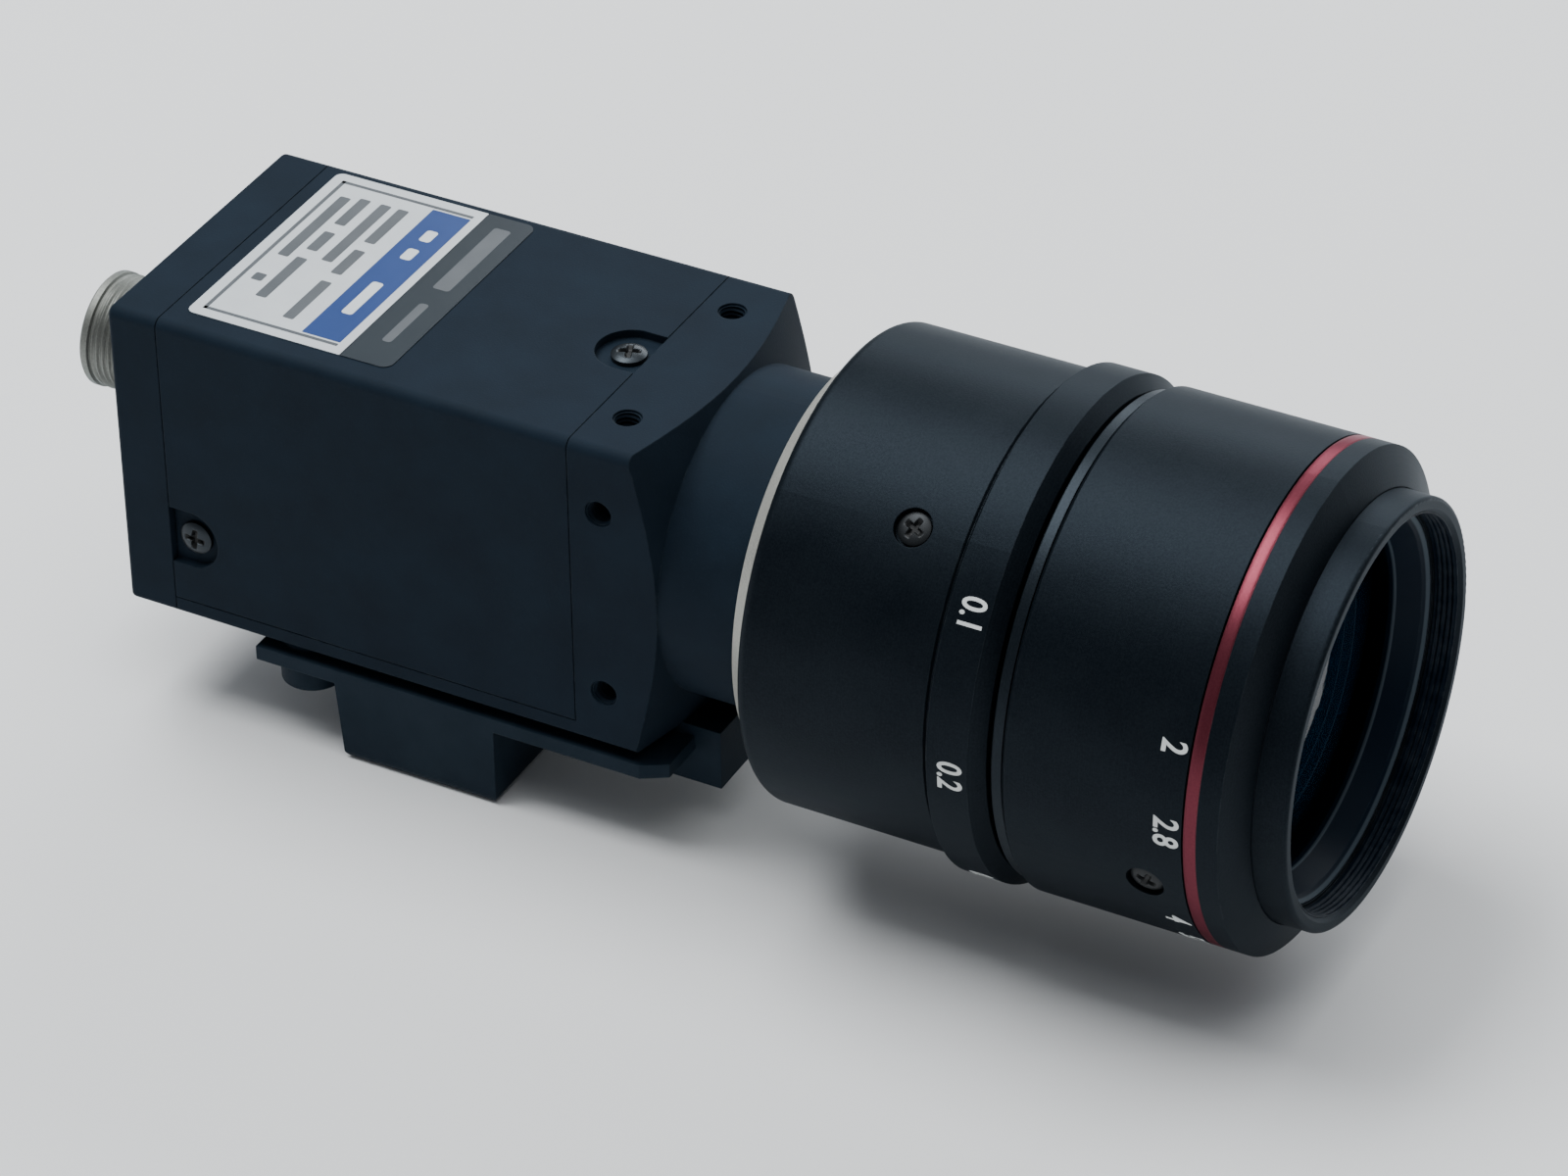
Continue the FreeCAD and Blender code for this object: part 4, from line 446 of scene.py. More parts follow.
@dataclass(frozen=True)
class PrintedFilm(Finish):
    """A printed film: faint fibre in its colour, a slightly wavy gloss."""

    color: Color = (0.58, 0.61, 0.63)
    shade: Color = (0.51, 0.54, 0.56)
    roughness: float = 0.34
    specular: float = 0.35
    coat: float = 0.12
    clouds: float = 6.0 * MM
    dots: float = 0.12 * MM
    waves: float = 2.6 * MM
    wave_depth: float = 0.012 * MM
    edge: float = 0.05 * MM

    def paint(self, board: NodeBoard) -> Material:
        """Clouded colour, fine dots of print, shallow waves."""
        clouds = board.noise(self.clouds, 3.0)
        dots = board.noise(self.dots, 1.0)
        share = 0.6 * board.spread(clouds, *CLOUDS) + 0.4 * board.spread(dots, 0.4, 0.7)
        rough = self.roughness + 0.10 * (dots - 0.5) + 0.08 * (clouds - 0.5)
        return board.finish(
            {"Coat Weight": self.coat, "Coat Roughness": 0.2, "Specular IOR Level": self.specular},
            board.blend(share, self.color, self.shade), rough,
            board.bump(board.noise(self.waves, 2.0), self.wave_depth, board.soft_edges(self.edge),
                       0.5))


@dataclass(frozen=True)
class CoatedGlass(Finish):
    """Optical glass with a thin coating and a trace of dust."""

    color: Color = (0.10, 0.16, 0.15)
    drift_tint: Color = (0.14, 0.20, 0.21)
    cover: float = 0.30
    bending: float = 1.5
    coat: float = 0.3
    coat_tint: Tuple[float, ...] = (0.75, 0.90, 1.0, 1.0)
    drift: float = 16.0 * MM
    dust: float = 1.8 * MM

    def paint(self, board: NodeBoard) -> Material:
        """Dark glass, its tint drifting from one colour to another, with faint dust."""
        drift = board.noise(self.drift, 2.0)
        dust = board.spread(board.noise(self.dust, 4.0), 0.58, 0.80)
        return board.finish({"Alpha": self.cover, "IOR": self.bending, "Coat Weight": self.coat,
                             "Coat Roughness": 0.02, "Coat Tint": self.coat_tint},
                            board.blend(board.spread(drift, *CLOUDS), self.color, self.drift_tint),
                            0.015 + 0.012 * dust)


@dataclass(frozen=True)
class CircuitBoard(Finish):
    """Solder mask over copper tracks."""

    color: Color = (0.008, 0.085, 0.040)
    track: Color = (0.020, 0.170, 0.075)
    pad: Color = (0.62, 0.50, 0.26)
    pad_pitch: float = 1.9 * MM
    track_pitch: float = 7.5 * MM
    track_height: float = 0.03 * MM

    def paint(self, board: NodeBoard) -> Material:
        """Tracks and pads laid over the mask's green."""
        cells = board.add("ShaderNodeTexVoronoi", {"feature": "F1", "distance": "CHEBYCHEV"}, {
            "Vector": board.place(), "Scale": 1.0 / self.pad_pitch})
        tracks = board.add("ShaderNodeTexWave", {"bands_direction": "Y"}, {
            "Vector": board.place(), "Scale": 1.0 / self.track_pitch, "Distortion": 3.0,
            "Detail": 0.0})
        lines = board.spread(tracks, 0.55, 0.60)
        pads = board.spread(cells, 0.14, 0.12)
        mask = board.blend(lines, self.color, self.track)
        return board.finish({"Metallic": 0.9 * pads}, board.blend(pads, mask, self.pad),
                            0.38 - 0.08 * pads + 0.06 * board.noise(3.0 * MM),
                            board.bump(lines, self.track_height, board.soft_edges(0.1 * MM)))


@dataclass(frozen=True)
class PaleFloor(Finish):
    """A matte, almost white table."""

    shade: Color = (0.80, 0.80, 0.80)
    color: Color = (0.84, 0.84, 0.84)
    clouds: float = 0.30

    def paint(self, board: NodeBoard) -> Material:
        """Very faint clouds on white."""
        clouds = board.noise(self.clouds, 3.0)
        return board.finish({"Specular IOR Level": 0.2},
                            board.blend(clouds, self.shade, self.color), 0.72 + 0.1 * clouds)


BODY_PAINT = TexturedPaint("body_paint")
LENS_BLACK = TurnedMetal(
    "lens_black", color=(0.0034, 0.0058, 0.0090), second=(0.0084, 0.0124, 0.0166), metallic=0.50,
    roughness=0.46, specular=0.19, blast_depth=0.018 * MM, tint=(0.48, 0.53, 0.58, 1.0),
    wear_and_glint=(0.060, 0.072, 0.082), wear=0.60)
# A paler copy of lens_black for the inner barrel: the paler colour is painted highlight, for the
# brighter light on its flange.
BARREL_BLACK = replace(
    LENS_BLACK, name="barrel_black", color=(0.0070, 0.0105, 0.0145),
    second=(0.0130, 0.0180, 0.0230), roughness=0.38, specular=0.30)
# Inside the mouth the brightened edges are mostly painted highlight, where steps and chamfers catch
# the light.
MOUTH_BLACK = TurnedMetal(
    "mouth_black", color=(0.0005, 0.0044, 0.0116), second=(0.0009, 0.0060, 0.0148), roughness=0.50,
    wear=0.90, wear_and_glint=(0.085, 0.105, 0.125), specular=0.10, edge=0.28 * MM)
# A dimmer edge colour for the front retainer, whose bright edges and thin lines are painted
# highlight.
RETAINER_BLACK = replace(MOUTH_BLACK, name="retainer_black", wear_and_glint=(0.050, 0.068, 0.085))
LENS_RED = TurnedMetal(
    "lens_red", color=(0.112, 0.021, 0.032), second=(0.142, 0.029, 0.042), metallic=0.80,
    roughness=0.34, wear_and_glint=(0.30, 0.09, 0.11), wear=0.12, blast_depth=0.002 * MM, edge=0.75 * MM,
    specular=0.4, tint=(0.75, 0.50, 0.55, 1.0))
BARE_METAL = TurnedMetal(
    "bare_metal", color=(0.76, 0.75, 0.67), second=(0.93, 0.92, 0.84), metallic=0.68,
    roughness=0.30, wear_and_glint=(0.92, 0.91, 0.86), ring_depth=0.003 * MM, blast_depth=0.001 * MM,
    specular=0.5, tint=PLAIN_TINT)
NICKEL = TurnedMetal(
    "dull_nickel", color=(0.165, 0.170, 0.155), second=(0.25, 0.255, 0.235), metallic=1.0,
    roughness=0.56, wear_and_glint=(0.42, 0.42, 0.39), blast_depth=0.004 * MM, axis_up=0.0445)
BRASS = TurnedMetal(
    "thread_brass", color=(0.52, 0.38, 0.16), second=(0.62, 0.47, 0.22), metallic=1.0,
    roughness=0.30, wear_and_glint=(0.80, 0.66, 0.40), axis_up=0.0)
GOLD = BrushedSteel(
    "contact_gold", color=(0.62, 0.42, 0.15), bright=(0.85, 0.65, 0.30), roughness=0.22,
    metallic=1.0)
SCREW_BLACK = BrushedSteel("screw_black", color=(0.013, 0.018, 0.023), bright=(0.060, 0.070, 0.080))
LOCK_BLACK = BrushedSteel(
    "lock_black", color=(0.0085, 0.0105, 0.0125), bright=(0.026, 0.030, 0.034), roughness=0.46,
    metallic=0.55)
# Near-black painted shade for the inside of the screws' cross recess.
RECESS_SHADE = BrushedSteel(
    "recess_shade", color=(0.0015, 0.0022, 0.0030), bright=(0.006, 0.007, 0.008), roughness=0.55,
    metallic=0.3)
BLADE_STEEL = BrushedSteel(
    "blade_black", color=(0.020, 0.022, 0.025), bright=(0.06, 0.065, 0.07), roughness=0.42,
    metallic=0.5, stretch=(1.0, 0.2, 1.0))
FOOT_RESIN = Moulding("foot_resin")
INSULATOR = Moulding(
    "black_insulator", color=(0.014, 0.016, 0.018), pale=(0.024, 0.027, 0.030), grain=0.25 * MM,
    depth=0.008 * MM, roughness=0.45)
RUBBER = Moulding(
    "seal_rubber", color=(0.011, 0.011, 0.012), pale=(0.022, 0.022, 0.024), roughness=0.75)
CHIP = Moulding(
    "chip_package", color=(0.018, 0.018, 0.019), pale=(0.032, 0.032, 0.034), grain=0.12 * MM,
    depth=0.006 * MM, roughness=0.5)
CERAMIC = Moulding(
    "sensor_ceramic", color=(0.13, 0.12, 0.15), pale=(0.20, 0.19, 0.23), grain=0.2 * MM,
    depth=0.004 * MM, roughness=0.35)
WHITE_FILM = PrintedFilm("white_film")
DARK_FILM = PrintedFilm(
    "dark_film", color=(0.0135, 0.0200, 0.0265), shade=(0.018, 0.026, 0.033), roughness=0.36,
    specular=0.22, coat=0.03)
BLUE_INK = PrintedFilm("blue_ink", color=(0.0065, 0.034, 0.155), shade=(0.009, 0.042, 0.180))
GREY_INK = PrintedFilm("grey_ink", color=(0.070, 0.078, 0.086), shade=(0.095, 0.105, 0.115))
PALE_INK = PrintedFilm(
    "pale_ink", color=(0.58, 0.62, 0.64), shade=(0.66, 0.69, 0.70), roughness=0.45)
SCALE_INK = PrintedFilm(
    "scale_ink", color=(0.62, 0.65, 0.64), shade=(0.74, 0.76, 0.75), roughness=0.50)
GLASS = CoatedGlass("coated_glass")
# The front glass's mostly opaque navy colour is a painted reflection: the blue sheen of its
# coating.
FRONT_GLASS = CoatedGlass(
    "front_glass", color=(0.0008, 0.0085, 0.0200), drift_tint=(0.0014, 0.0110, 0.0250), cover=0.74,
    bending=1.22, coat=0.0)
GREEN_BOARD = CircuitBoard("green_board")


# Mesh work
@dataclass(frozen=True)
class Ring:
    """One ring of a turned profile: its place along the axis, its radius, its thread's depth."""

    along: float
    radius: float
    thread: float = 0.0


def sharpen(mesh: Mesh, angle: float = math.radians(32.0)) -> None:
    """Shade smoothly except across edges that turn by more than the angle."""
    for face in mesh.faces:
        face.smooth = True
    for edge in mesh.edges:
        edge.smooth = len(edge.link_faces) == 2 and edge.calc_face_angle(0.0) < angle


def add_lathe(mesh: Mesh, rings: Sequence[Ring], steps: int, pitch: float, move: Matrix) -> None:
    """Turn a closed profile round the X axis, with a helical thread on the rings that ask for one.

    Args:
        mesh: the mesh that gets the surface.
        rings: the profile, whose last ring joins its first.
        steps: how many faces go round.
        pitch: how far the thread climbs in one turn.
        move: where the axis goes.
    """
    columns: List[List[Vert]] = []
    for step in range(steps):
        angle = FULL_TURN * step / steps
        column = []
        for ring in rings:
            phase = (ring.along / pitch - step / steps) % 1.0
            radius = ring.radius + ring.thread * (abs(2.0 * phase - 1.0) - 0.5)
            spot = Vector((ring.along, radius * math.cos(angle), radius * math.sin(angle)))
            column.append(mesh.verts.new(move @ spot))
        columns.append(column)
    for step, column in enumerate(columns):
        after = columns[(step + 1) % steps]
        for low in range(len(rings)):
            high = (low + 1) % len(rings)
            mesh.faces.new((column[low], column[high], after[high], after[low]))


@dataclass(frozen=True)
class Thread:
    """A thread: its pitch, its depth from crest to root, the length over which it runs out."""

    pitch: float
    depth: float
    fade: float

    def ridges(self, start: float, end: float, radius: float) -> List[Ring]:
        """Rings of the thread between two places along an axis, running out at both ends.

        Args:
            start: first place along the axis.
            end: last place along the axis.
            radius: the thread's middle radius.

        Returns:
            The rings, six to a pitch.
        """
        count = max(6, round(abs(end - start) / self.pitch * 6))
        rings = []
        for place in range(count + 1):
            along = start + (end - start) * place / count
            near = min(abs(along - start), abs(along - end)) / self.fade
            rings.append(Ring(along, radius, self.depth * min(1.0, near)))
        return rings

    def in_bore(self, start: float, end: float, bore: float, sink: float = 0.02 * MM) -> List[Ring]:
        """The closed profile of ridges inside a bore, their back sunk in its wall."""
        rings = self.ridges(start, end, bore - self.depth / 2.0 - sink)
        return rings + [Ring(ring.along, bore + sink) for ring in (rings[-1], rings[0])]


def add_slab(mesh: Mesh, outline: Sequence[Span], low: float, high: float) -> None:
    """Raise a flat closed outline, given in X and Y, between two levels."""
    floors = [[mesh.verts.new((x, y, level)) for x, y in outline] for level in (low, high)]
    mesh.faces.new(floors[1])
    mesh.faces.new(list(reversed(floors[0])))
    for place in range(len(outline)):
        after = (place + 1) % len(outline)
        mesh.faces.new((floors[0][place], floors[0][after], floors[1][after], floors[1][place]))


def round_rectangle(x: Span, y: Span, radius: float, steps: int = 6) -> List[Span]:
    """The outline of a rectangle with rounded corners, counter-clockwise."""
    left, right, low, high = x[0] + radius, x[1] - radius, y[0] + radius, y[1] - radius
    outline = []
    for corner, (side, up) in enumerate(((right, high), (left, high), (left, low), (right, low))):
        for step in range(steps + 1):
            angle = math.pi / 2.0 * (corner + step / steps)
            outline.append((side + radius * math.cos(angle), up + radius * math.sin(angle)))
    return outline


def make_piece(name: str, mesh: Mesh, finish: Finish) -> bpy.types.Object:
    """Turn a mesh, which is used up, into an object of the scene with one finish."""
    data = bpy.data.meshes.new(name)
    mesh.to_mesh(data)
    mesh.free()
    piece = bpy.data.objects.new(name, data)
    bpy.context.scene.collection.objects.link(piece)
    data.materials.append(finish.material())
    return piece


@dataclass
class Workshop:
    """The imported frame, and what is done to each piece before it leaves the bench."""

    frame: Dict[str, Any]

    def deliver(self, name: str, mesh: Mesh, finish: Finish, body: Body,
                replaces: Sequence[str] = (), inner: Optional[Finish] = None) -> None:
        """Make an object of a mesh, dress it and let it ride on its body.

        Args:
            name: the piece's name.
            mesh: its finished mesh, which is used up.
            finish: its finish.
            body: the body that carries it.
            replaces: the CAD nodes that it stands for.
            inner: a second finish, for the faces that the mesh marks.
        """
        bmesh.ops.recalc_face_normals(mesh, faces=mesh.faces)
        sharpen(mesh)
        piece = make_piece(name, mesh, finish)
        if inner:
            piece.data.materials.append(inner.material())
        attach(piece, body.value)
        if replaces:
            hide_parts(*replaces)
        LOG.info("%s: %d faces, rides on %s", name, len(piece.data.polygons), body.value)

    def dress(self, finish: Finish, *nodes: str) -> None:
        """Give CAD nodes a finish."""
        for name in nodes:
            piece = self.frame["nodes"][name]
            if not piece.material_slots:
                piece.data.materials.append(finish.material())
            for place in piece.material_slots:
                place.material = finish.material()
            LOG.info("%s: dressed in %s", name, finish.name)


@dataclass
class CrossScrews:
    """Pan-head screws with a cross recess, each standing along its own direction."""

    name: str
    head_radius: float
    head_height: float
    shank_radius: float
    shank_length: float
    places: List[Tuple[Vector, Vector]]
    steps: int = 72
    rings: int = 22
    recess_reach: float = 0.66
    recess_half: float = 0.18
    recess_depth: float = 0.62
    recess_wall: float = 0.06
    recess_taper: float = 2.2
    recess_edge: float = 0.12
    doming: float = 0.42
    dome_power: float = 3.2
    ring_power: float = 0.9
    finish: Finish = SCREW_BLACK
    turn: float = 0.35
    turn_step: float = 1.1

    def recess(self, side: float, up: float) -> float:
        """How deep the cross is at a point of the head, as a share of its full depth."""
        deepest = 0.0
        for along, across in ((abs(side), abs(up)), (abs(up), abs(side))):
            taper = max(0.0, 1.0 - along / (self.recess_reach * self.head_radius))
            wall = (self.recess_half * self.head_radius - across) / (
                self.recess_wall * self.head_radius)
            deepest = max(deepest, min(1.0, max(0.0, wall)) * min(1.0, self.recess_taper * taper))
        return deepest

    def circle(self, mesh: Mesh, move: Matrix, radius: float, level: float,
               depth: float = 0.0) -> List[Vert]:
        """A circle of points round the screw, sunk where the cross is.

        Args:
            mesh: the mesh that gets the points.
            move: where the screw stands.
            radius: the circle's radius.
            level: its height over the seat.
            depth: how deep the cross is at its deepest; nothing for a plain circle.

        Returns:
            The points, counter-clockwise.
        """
        row = []
        for step in range(self.steps):
            angle = FULL_TURN * step / self.steps
            side, up = radius * math.cos(angle), radius * math.sin(angle)
            sunk = self.recess(side, up) * depth if depth else 0.0
            row.append(mesh.verts.new(move @ Vector((side, up, level - sunk))))
        return row

    def add_head(self, mesh: Mesh, move: Matrix) -> None:
        """One screw: a domed head whose cross is pressed in, a rounded rim, and its shank."""
        depth = self.recess_depth * self.head_height
        rows: List[List[Vert]] = []
        for ring in range(1, self.rings + 1):
            share = math.sin(ring / self.rings * math.pi / 2.0) ** self.ring_power
            dome = self.head_height * (1.0 - self.doming * share ** self.dome_power)
            rows.append(self.circle(mesh, move, self.head_radius * share, dome, depth))
        for radius, level in ((self.head_radius, 0.0), (self.shank_radius, 0.0),
                              (self.shank_radius, -self.shank_length)):
            rows.append(self.circle(mesh, move, radius, level))
        middle = mesh.verts.new(move @ Vector((0.0, 0.0, self.head_height - depth)))
        for step in range(self.steps):
            after = (step + 1) % self.steps
            mesh.faces.new((middle, rows[0][step], rows[0][after]))
            for low, high in zip(rows, rows[1:]):
                mesh.faces.new((low[step], high[step], high[after], low[after]))
        mesh.faces.new(list(reversed(rows[-1])))
        self.mark_recess(mesh, move)

    def mark_recess(self, mesh: Mesh, move: Matrix) -> None:
        """Give the faces inside the cross the second finish, a near-black painted shade."""
        home = move.inverted()
        for face in mesh.faces:
            middle = home @ face.calc_center_median()
            if middle.z > 0.0 and self.recess(middle.x, middle.y) > self.recess_edge:
                face.material_index = 1

    def build(self, shop: Workshop, body: Body, replaces: str) -> None:
        """Make all the screws of this size as one piece that stands for a CAD node."""
        mesh = bmesh.new()
        for number, (seat, outward) in enumerate(self.places):
            turn = Matrix.Rotation(self.turn + self.turn_step * number, 4, "Z")
            stand = outward.to_track_quat("Z", "Y").to_matrix().to_4x4()
            self.add_head(mesh, Matrix.Translation(seat) @ stand @ turn)
        shop.deliver(self.name, mesh, self.finish, body, [replaces], RECESS_SHADE)


# Camera head
@dataclass(frozen=True)
class Places:
    """Where the main faces of the camera are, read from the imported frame."""

    axis_up: float
    seam: float
    rear_face: float
    top: float
    near: float
    far: float

    @classmethod
    def read(cls, gap: float = 0.15 * MM) -> "Places":
        """Take every level from the boxes of the CAD nodes, the seam a gap ahead of the cover."""
        focus_low, focus_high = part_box("focus_ring")
        cover_low, cover_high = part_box("body_cover")
        rear_low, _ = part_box("rear_cover")
        return cls(axis_up=(focus_low.z + focus_high.z) / 2.0, seam=cover_high.x + gap,
                   rear_face=rear_low.x, top=cover_high.z, near=cover_low.y, far=cover_high.y)


@dataclass
class CameraHead:
    """The cast head: paint, screws, threads of the mounting holes and the printed films on top."""

    places: Places
    screw_sunk: float = 1.3 * MM
    top_screw_behind: float = 3.5 * MM
    side_screw_behind: float = 61.9 * MM
    side_screw_drop: float = 11.1 * MM
    rear_screw_radius: float = 2.2 * MM
    rear_screw_ahead: float = 1.5 * MM
    hole_ahead: float = 4.6 * MM
    hole_spacing: float = 30.0 * MM
    side_drop: float = 0.8 * MM
    hole_radius: float = 2.05 * MM
    hole_start: float = 0.35 * MM
    hole_end: float = 4.8 * MM
    hole_thread: Thread = Thread(pitch=0.7 * MM, depth=0.42 * MM, fade=0.5 * MM)
    hole_steps: int = 28
    band_length: float = 6.2 * MM
    band_gap: float = 0.96 * MM
    frame_inset: float = 1.7 * MM
    front_inset: float = 1.445 * MM
    frame_width: float = 0.60 * MM
    frame_corner: float = 0.08 * MM
    corner_size: float = 1.4 * MM
    corner: float = 0.15 * MM
    film_lift: float = 0.02 * MM
    row_width: float = 1.75 * MM
    row_corner: float = 0.3 * MM
    mark_half: float = 0.9 * MM
    bar_corner: float = 0.5 * MM
    # How far ahead each grey field stands in mm, and the shares of the width where it runs.
    rows: Tuple[Tuple[float, float, float], ...] = (
        (1.9, 0.10, 0.56), (1.9, 0.70, 0.75), (4.8, 0.08, 0.28), (4.8, 0.34, 0.48),
        (4.8, 0.54, 0.84), (8.2, 0.08, 0.52), (11.1, 0.08, 0.34), (11.1, 0.40, 0.58),
        (11.1, 0.64, 0.92))
    # Where each pale field on the blue one starts, as a share of the width, and its length in mm.
    marks: Tuple[Span, ...] = ((0.16, 3.0), (0.30, 3.0), (0.56, 9.0))
    # Where each bar of the strip starts and ends, as shares, and half its width in mm.
    bars: Tuple[Tuple[float, float, float], ...] = ((0.07, 0.50, 1.35), (0.60, 0.86, 0.75))

    def build(self, shop: Workshop) -> None:
        """Make and dress everything on the head's outside."""
        shop.dress(BODY_PAINT, "front_housing", "body_cover", "rear_cover")
        self.build_screws(shop)
        self.build_hole_threads(shop)
        self.build_label(shop)
        self.build_strip(shop)

    def build_screws(self, shop: Workshop) -> None:
        """The cover's three screws and the rear cover's four."""
        p = self.places
        sunk = self.screw_sunk
        x, z = p.seam - self.side_screw_behind, p.axis_up - self.side_screw_drop
        CrossScrews("cover_screw_heads", head_radius=2.55 * MM, head_height=1.15 * MM,
                    shank_radius=1.2 * MM, shank_length=3.0 * MM, places=[
                        (Vector((p.seam - self.top_screw_behind, 0.0, p.top - sunk)), UP),
                        (Vector((x, p.near + sunk, z)), NEAR),
                        (Vector((x, p.far - sunk, z)), FAR),
                    ]).build(shop, Body.HEAD, "cover_screws")
        low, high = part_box("rear_screws")
        radius = self.rear_screw_radius
        seat = p.rear_face + self.rear_screw_ahead
        spots = [Vector((seat, y, z)) for y in (low.y + radius, high.y - radius)
                 for z in (low.z + radius, high.z - radius)]
        CrossScrews("rear_screw_heads", head_radius=radius, head_height=1.3 * MM,
                    shank_radius=1.0 * MM, shank_length=6.0 * MM,
                    places=[(spot, REAR) for spot in spots]).build(shop, Body.HEAD, "rear_screws")

    def build_hole_threads(self, shop: Workshop) -> None:
        """Thread ridges inside the mounting holes of the top and both sides."""
        p = self.places
        mesh = bmesh.new()
        x = p.seam + self.hole_ahead
        rings = self.hole_thread.in_bore(self.hole_start, self.hole_end, self.hole_radius)
        for shift in (-self.hole_spacing / 2.0, self.hole_spacing / 2.0):
            side_z = p.axis_up - self.side_drop + shift
            for mouth, inward in (((x, shift, p.top), DOWN), ((x, p.near, side_z), FAR),
                                  ((x, p.far, side_z), NEAR)):
                stand = inward.to_track_quat("X", "Z").to_matrix().to_4x4()
                add_lathe(mesh, rings, self.hole_steps, self.hole_thread.pitch,
                          Matrix.Translation(mouth) @ stand)
        shop.deliver("mount_hole_threads", mesh, BODY_PAINT, Body.HEAD)

    def add_field(self, mesh: Mesh, x: Span, y: Span, corner: float, level: float) -> None:
        """A printed field, its middle on a level."""
        add_slab(mesh, round_rectangle(x, y, corner), level - self.film_lift,
                 level + self.film_lift)

    def build_label(self, shop: Workshop) -> None:
        """The white film with an inset frame, a blue field and plain grey fields."""
        shop.dress(WHITE_FILM, "label_plate")
        low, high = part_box("label_plate")
        level, line, size = high.z, self.frame_width, self.corner_size
        x0, x1 = low.x + self.frame_inset, high.x - self.front_inset
        y0, y1 = low.y + self.frame_inset, high.y - self.frame_inset
        mesh = bmesh.new()
        for start in (low.y, high.y - size):
            add_slab(mesh, round_rectangle((high.x - size, high.x), (start, start + size),
                                           self.corner),
                     low.z + self.film_lift, level - 0.5 * self.film_lift)
        shop.deliver("label_front_corners", mesh, WHITE_FILM, Body.HEAD)
        mesh = bmesh.new()
        for x, y in (((x0, x0 + line), (y0, y1)), ((x0, x1), (y0, y0 + line)),
                     ((x0, x1), (y1 - line, y1))):
            self.add_field(mesh, x, y, self.frame_corner, level)
        for ahead, start, end in self.rows:
            along = x0 + ahead * MM
            self.add_field(mesh, (along, along + self.row_width),
                           (y1 - (y1 - y0) * end, y1 - (y1 - y0) * start), self.row_corner, level)
        shop.deliver("label_fields", mesh, GREY_INK, Body.HEAD)
        mesh = bmesh.new()
        self.add_field(mesh, (x1 - self.band_length, x1), (y0 + self.band_gap, y1 - self.band_gap),
                       self.corner, level)
        shop.deliver("label_blue_field", mesh, BLUE_INK, Body.HEAD)
        mesh = bmesh.new()
        middle = x1 - self.band_length / 2.0
        for share, length in self.marks:
            start = y1 - (y1 - y0) * share
            self.add_field(mesh, (middle - self.mark_half, middle + self.mark_half),
                           (start - length * MM, start), self.bar_corner, level + self.film_lift)
        shop.deliver("label_pale_fields", mesh, PALE_INK, Body.HEAD)

    def build_strip(self, shop: Workshop) -> None:
        """The dark strip ahead of the label, with two plain pale bars."""
        shop.dress(DARK_FILM, "name_strip")
        low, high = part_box("name_strip")
        mesh = bmesh.new()
        middle, width = (low.x + high.x) / 2.0, high.y - low.y
        for start, end, half in self.bars:
            self.add_field(mesh, (middle - half * MM, middle + half * MM),
                           (high.y - width * end, high.y - width * start), self.bar_corner, high.z)
        shop.deliver("strip_fields", mesh, GREY_INK, Body.HEAD)


@dataclass
class RearConnector:
    """The round threaded connector at the back."""

    thread: Thread = Thread(pitch=1.0 * MM, depth=0.45 * MM, fade=0.4 * MM)
    thread_sink: float = 0.05 * MM
    collar: float = 4.4 * MM
    lip: float = 1.3 * MM
    chamfer: float = 0.35 * MM
    slope: float = 0.25 * MM
    relief: float = 0.4 * MM
    bore: float = 7.0 * MM
    floor: float = 0.7 * MM
    neck_radius: float = 7.2 * MM
    neck_bore: float = 6.2 * MM
    steps: int = 96

    def build(self, shop: Workshop) -> None:
        """Turn the threaded shell, and dress what sits in it."""
        low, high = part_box("connector_shell")
        radius = (high.z - low.z) / 2.0
        axis = Matrix.Translation((0.0, 0.0, (high.z + low.z) / 2.0))
        gasket_low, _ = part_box("connector_gasket")
        lip, back = low.x + self.lip, gasket_low.x
        collar = back - self.collar
        profile = [Ring(low.x, self.bore), Ring(low.x, radius - self.chamfer),
                   Ring(low.x + self.chamfer, radius), Ring(lip, radius),
                   Ring(lip + self.slope, radius - self.relief)]
        profile += self.thread.ridges(lip + 2.0 * self.slope, collar - self.relief,
                                      radius - self.thread_sink - self.thread.depth / 2.0)
        profile += [Ring(along, reach) for along, reach in (
            (collar - self.relief / 2.0, radius - self.relief), (collar, radius), (back, radius),
            (back, self.neck_radius), (high.x, self.neck_radius), (high.x, self.neck_bore),
            (back - self.floor, self.neck_bore), (back - self.floor, self.bore))]
        mesh = bmesh.new()
        add_lathe(mesh, profile, self.steps, self.thread.pitch, axis)
        shop.deliver("connector_threaded_shell", mesh, NICKEL, Body.HEAD,
                     ["connector_shell"])
        shop.dress(INSULATOR, "connector_insert")
        shop.dress(GOLD, "connector_pins")
        shop.dress(RUBBER, "connector_gasket")
        shop.dress(NICKEL, "connector_nut")


@dataclass
class SensorStack:
    """The boards, chips and sensor inside the head."""

    def build(self, shop: Workshop) -> None:
        """Dress the boards and what is on them."""
        shop.dress(GREEN_BOARD, "sensor_board", "processor_board", "memory_board",
                   "interface_board")
        shop.dress(BARE_METAL, "board_standoffs")
        shop.dress(INSULATOR, "board_headers")
        shop.dress(SCREW_BLACK, "board_screws")
        shop.dress(CHIP, "processor_chip", "memory_chips")
        shop.dress(CERAMIC, "image_sensor")
        shop.dress(GLASS, "sensor_glass", "window_glass")
        shop.dress(RUBBER, "window_seal")
        shop.dress(LENS_BLACK, "window_ring")


@dataclass
class TripodFoot:
    """The insulating foot with its screws and thread insert."""

    def build(self, shop: Workshop) -> None:
        """Dress the moulding and its metal parts."""
        shop.dress(FOOT_RESIN, "mounting_foot")
        shop.dress(BRASS, "thread_insert")
        shop.dress(SCREW_BLACK, "foot_screws")


# Lens
@dataclass(frozen=True)
class Mark:
    """One number of a scale and the angle at which its middle stands, in degrees."""

    text: str
    angle: float


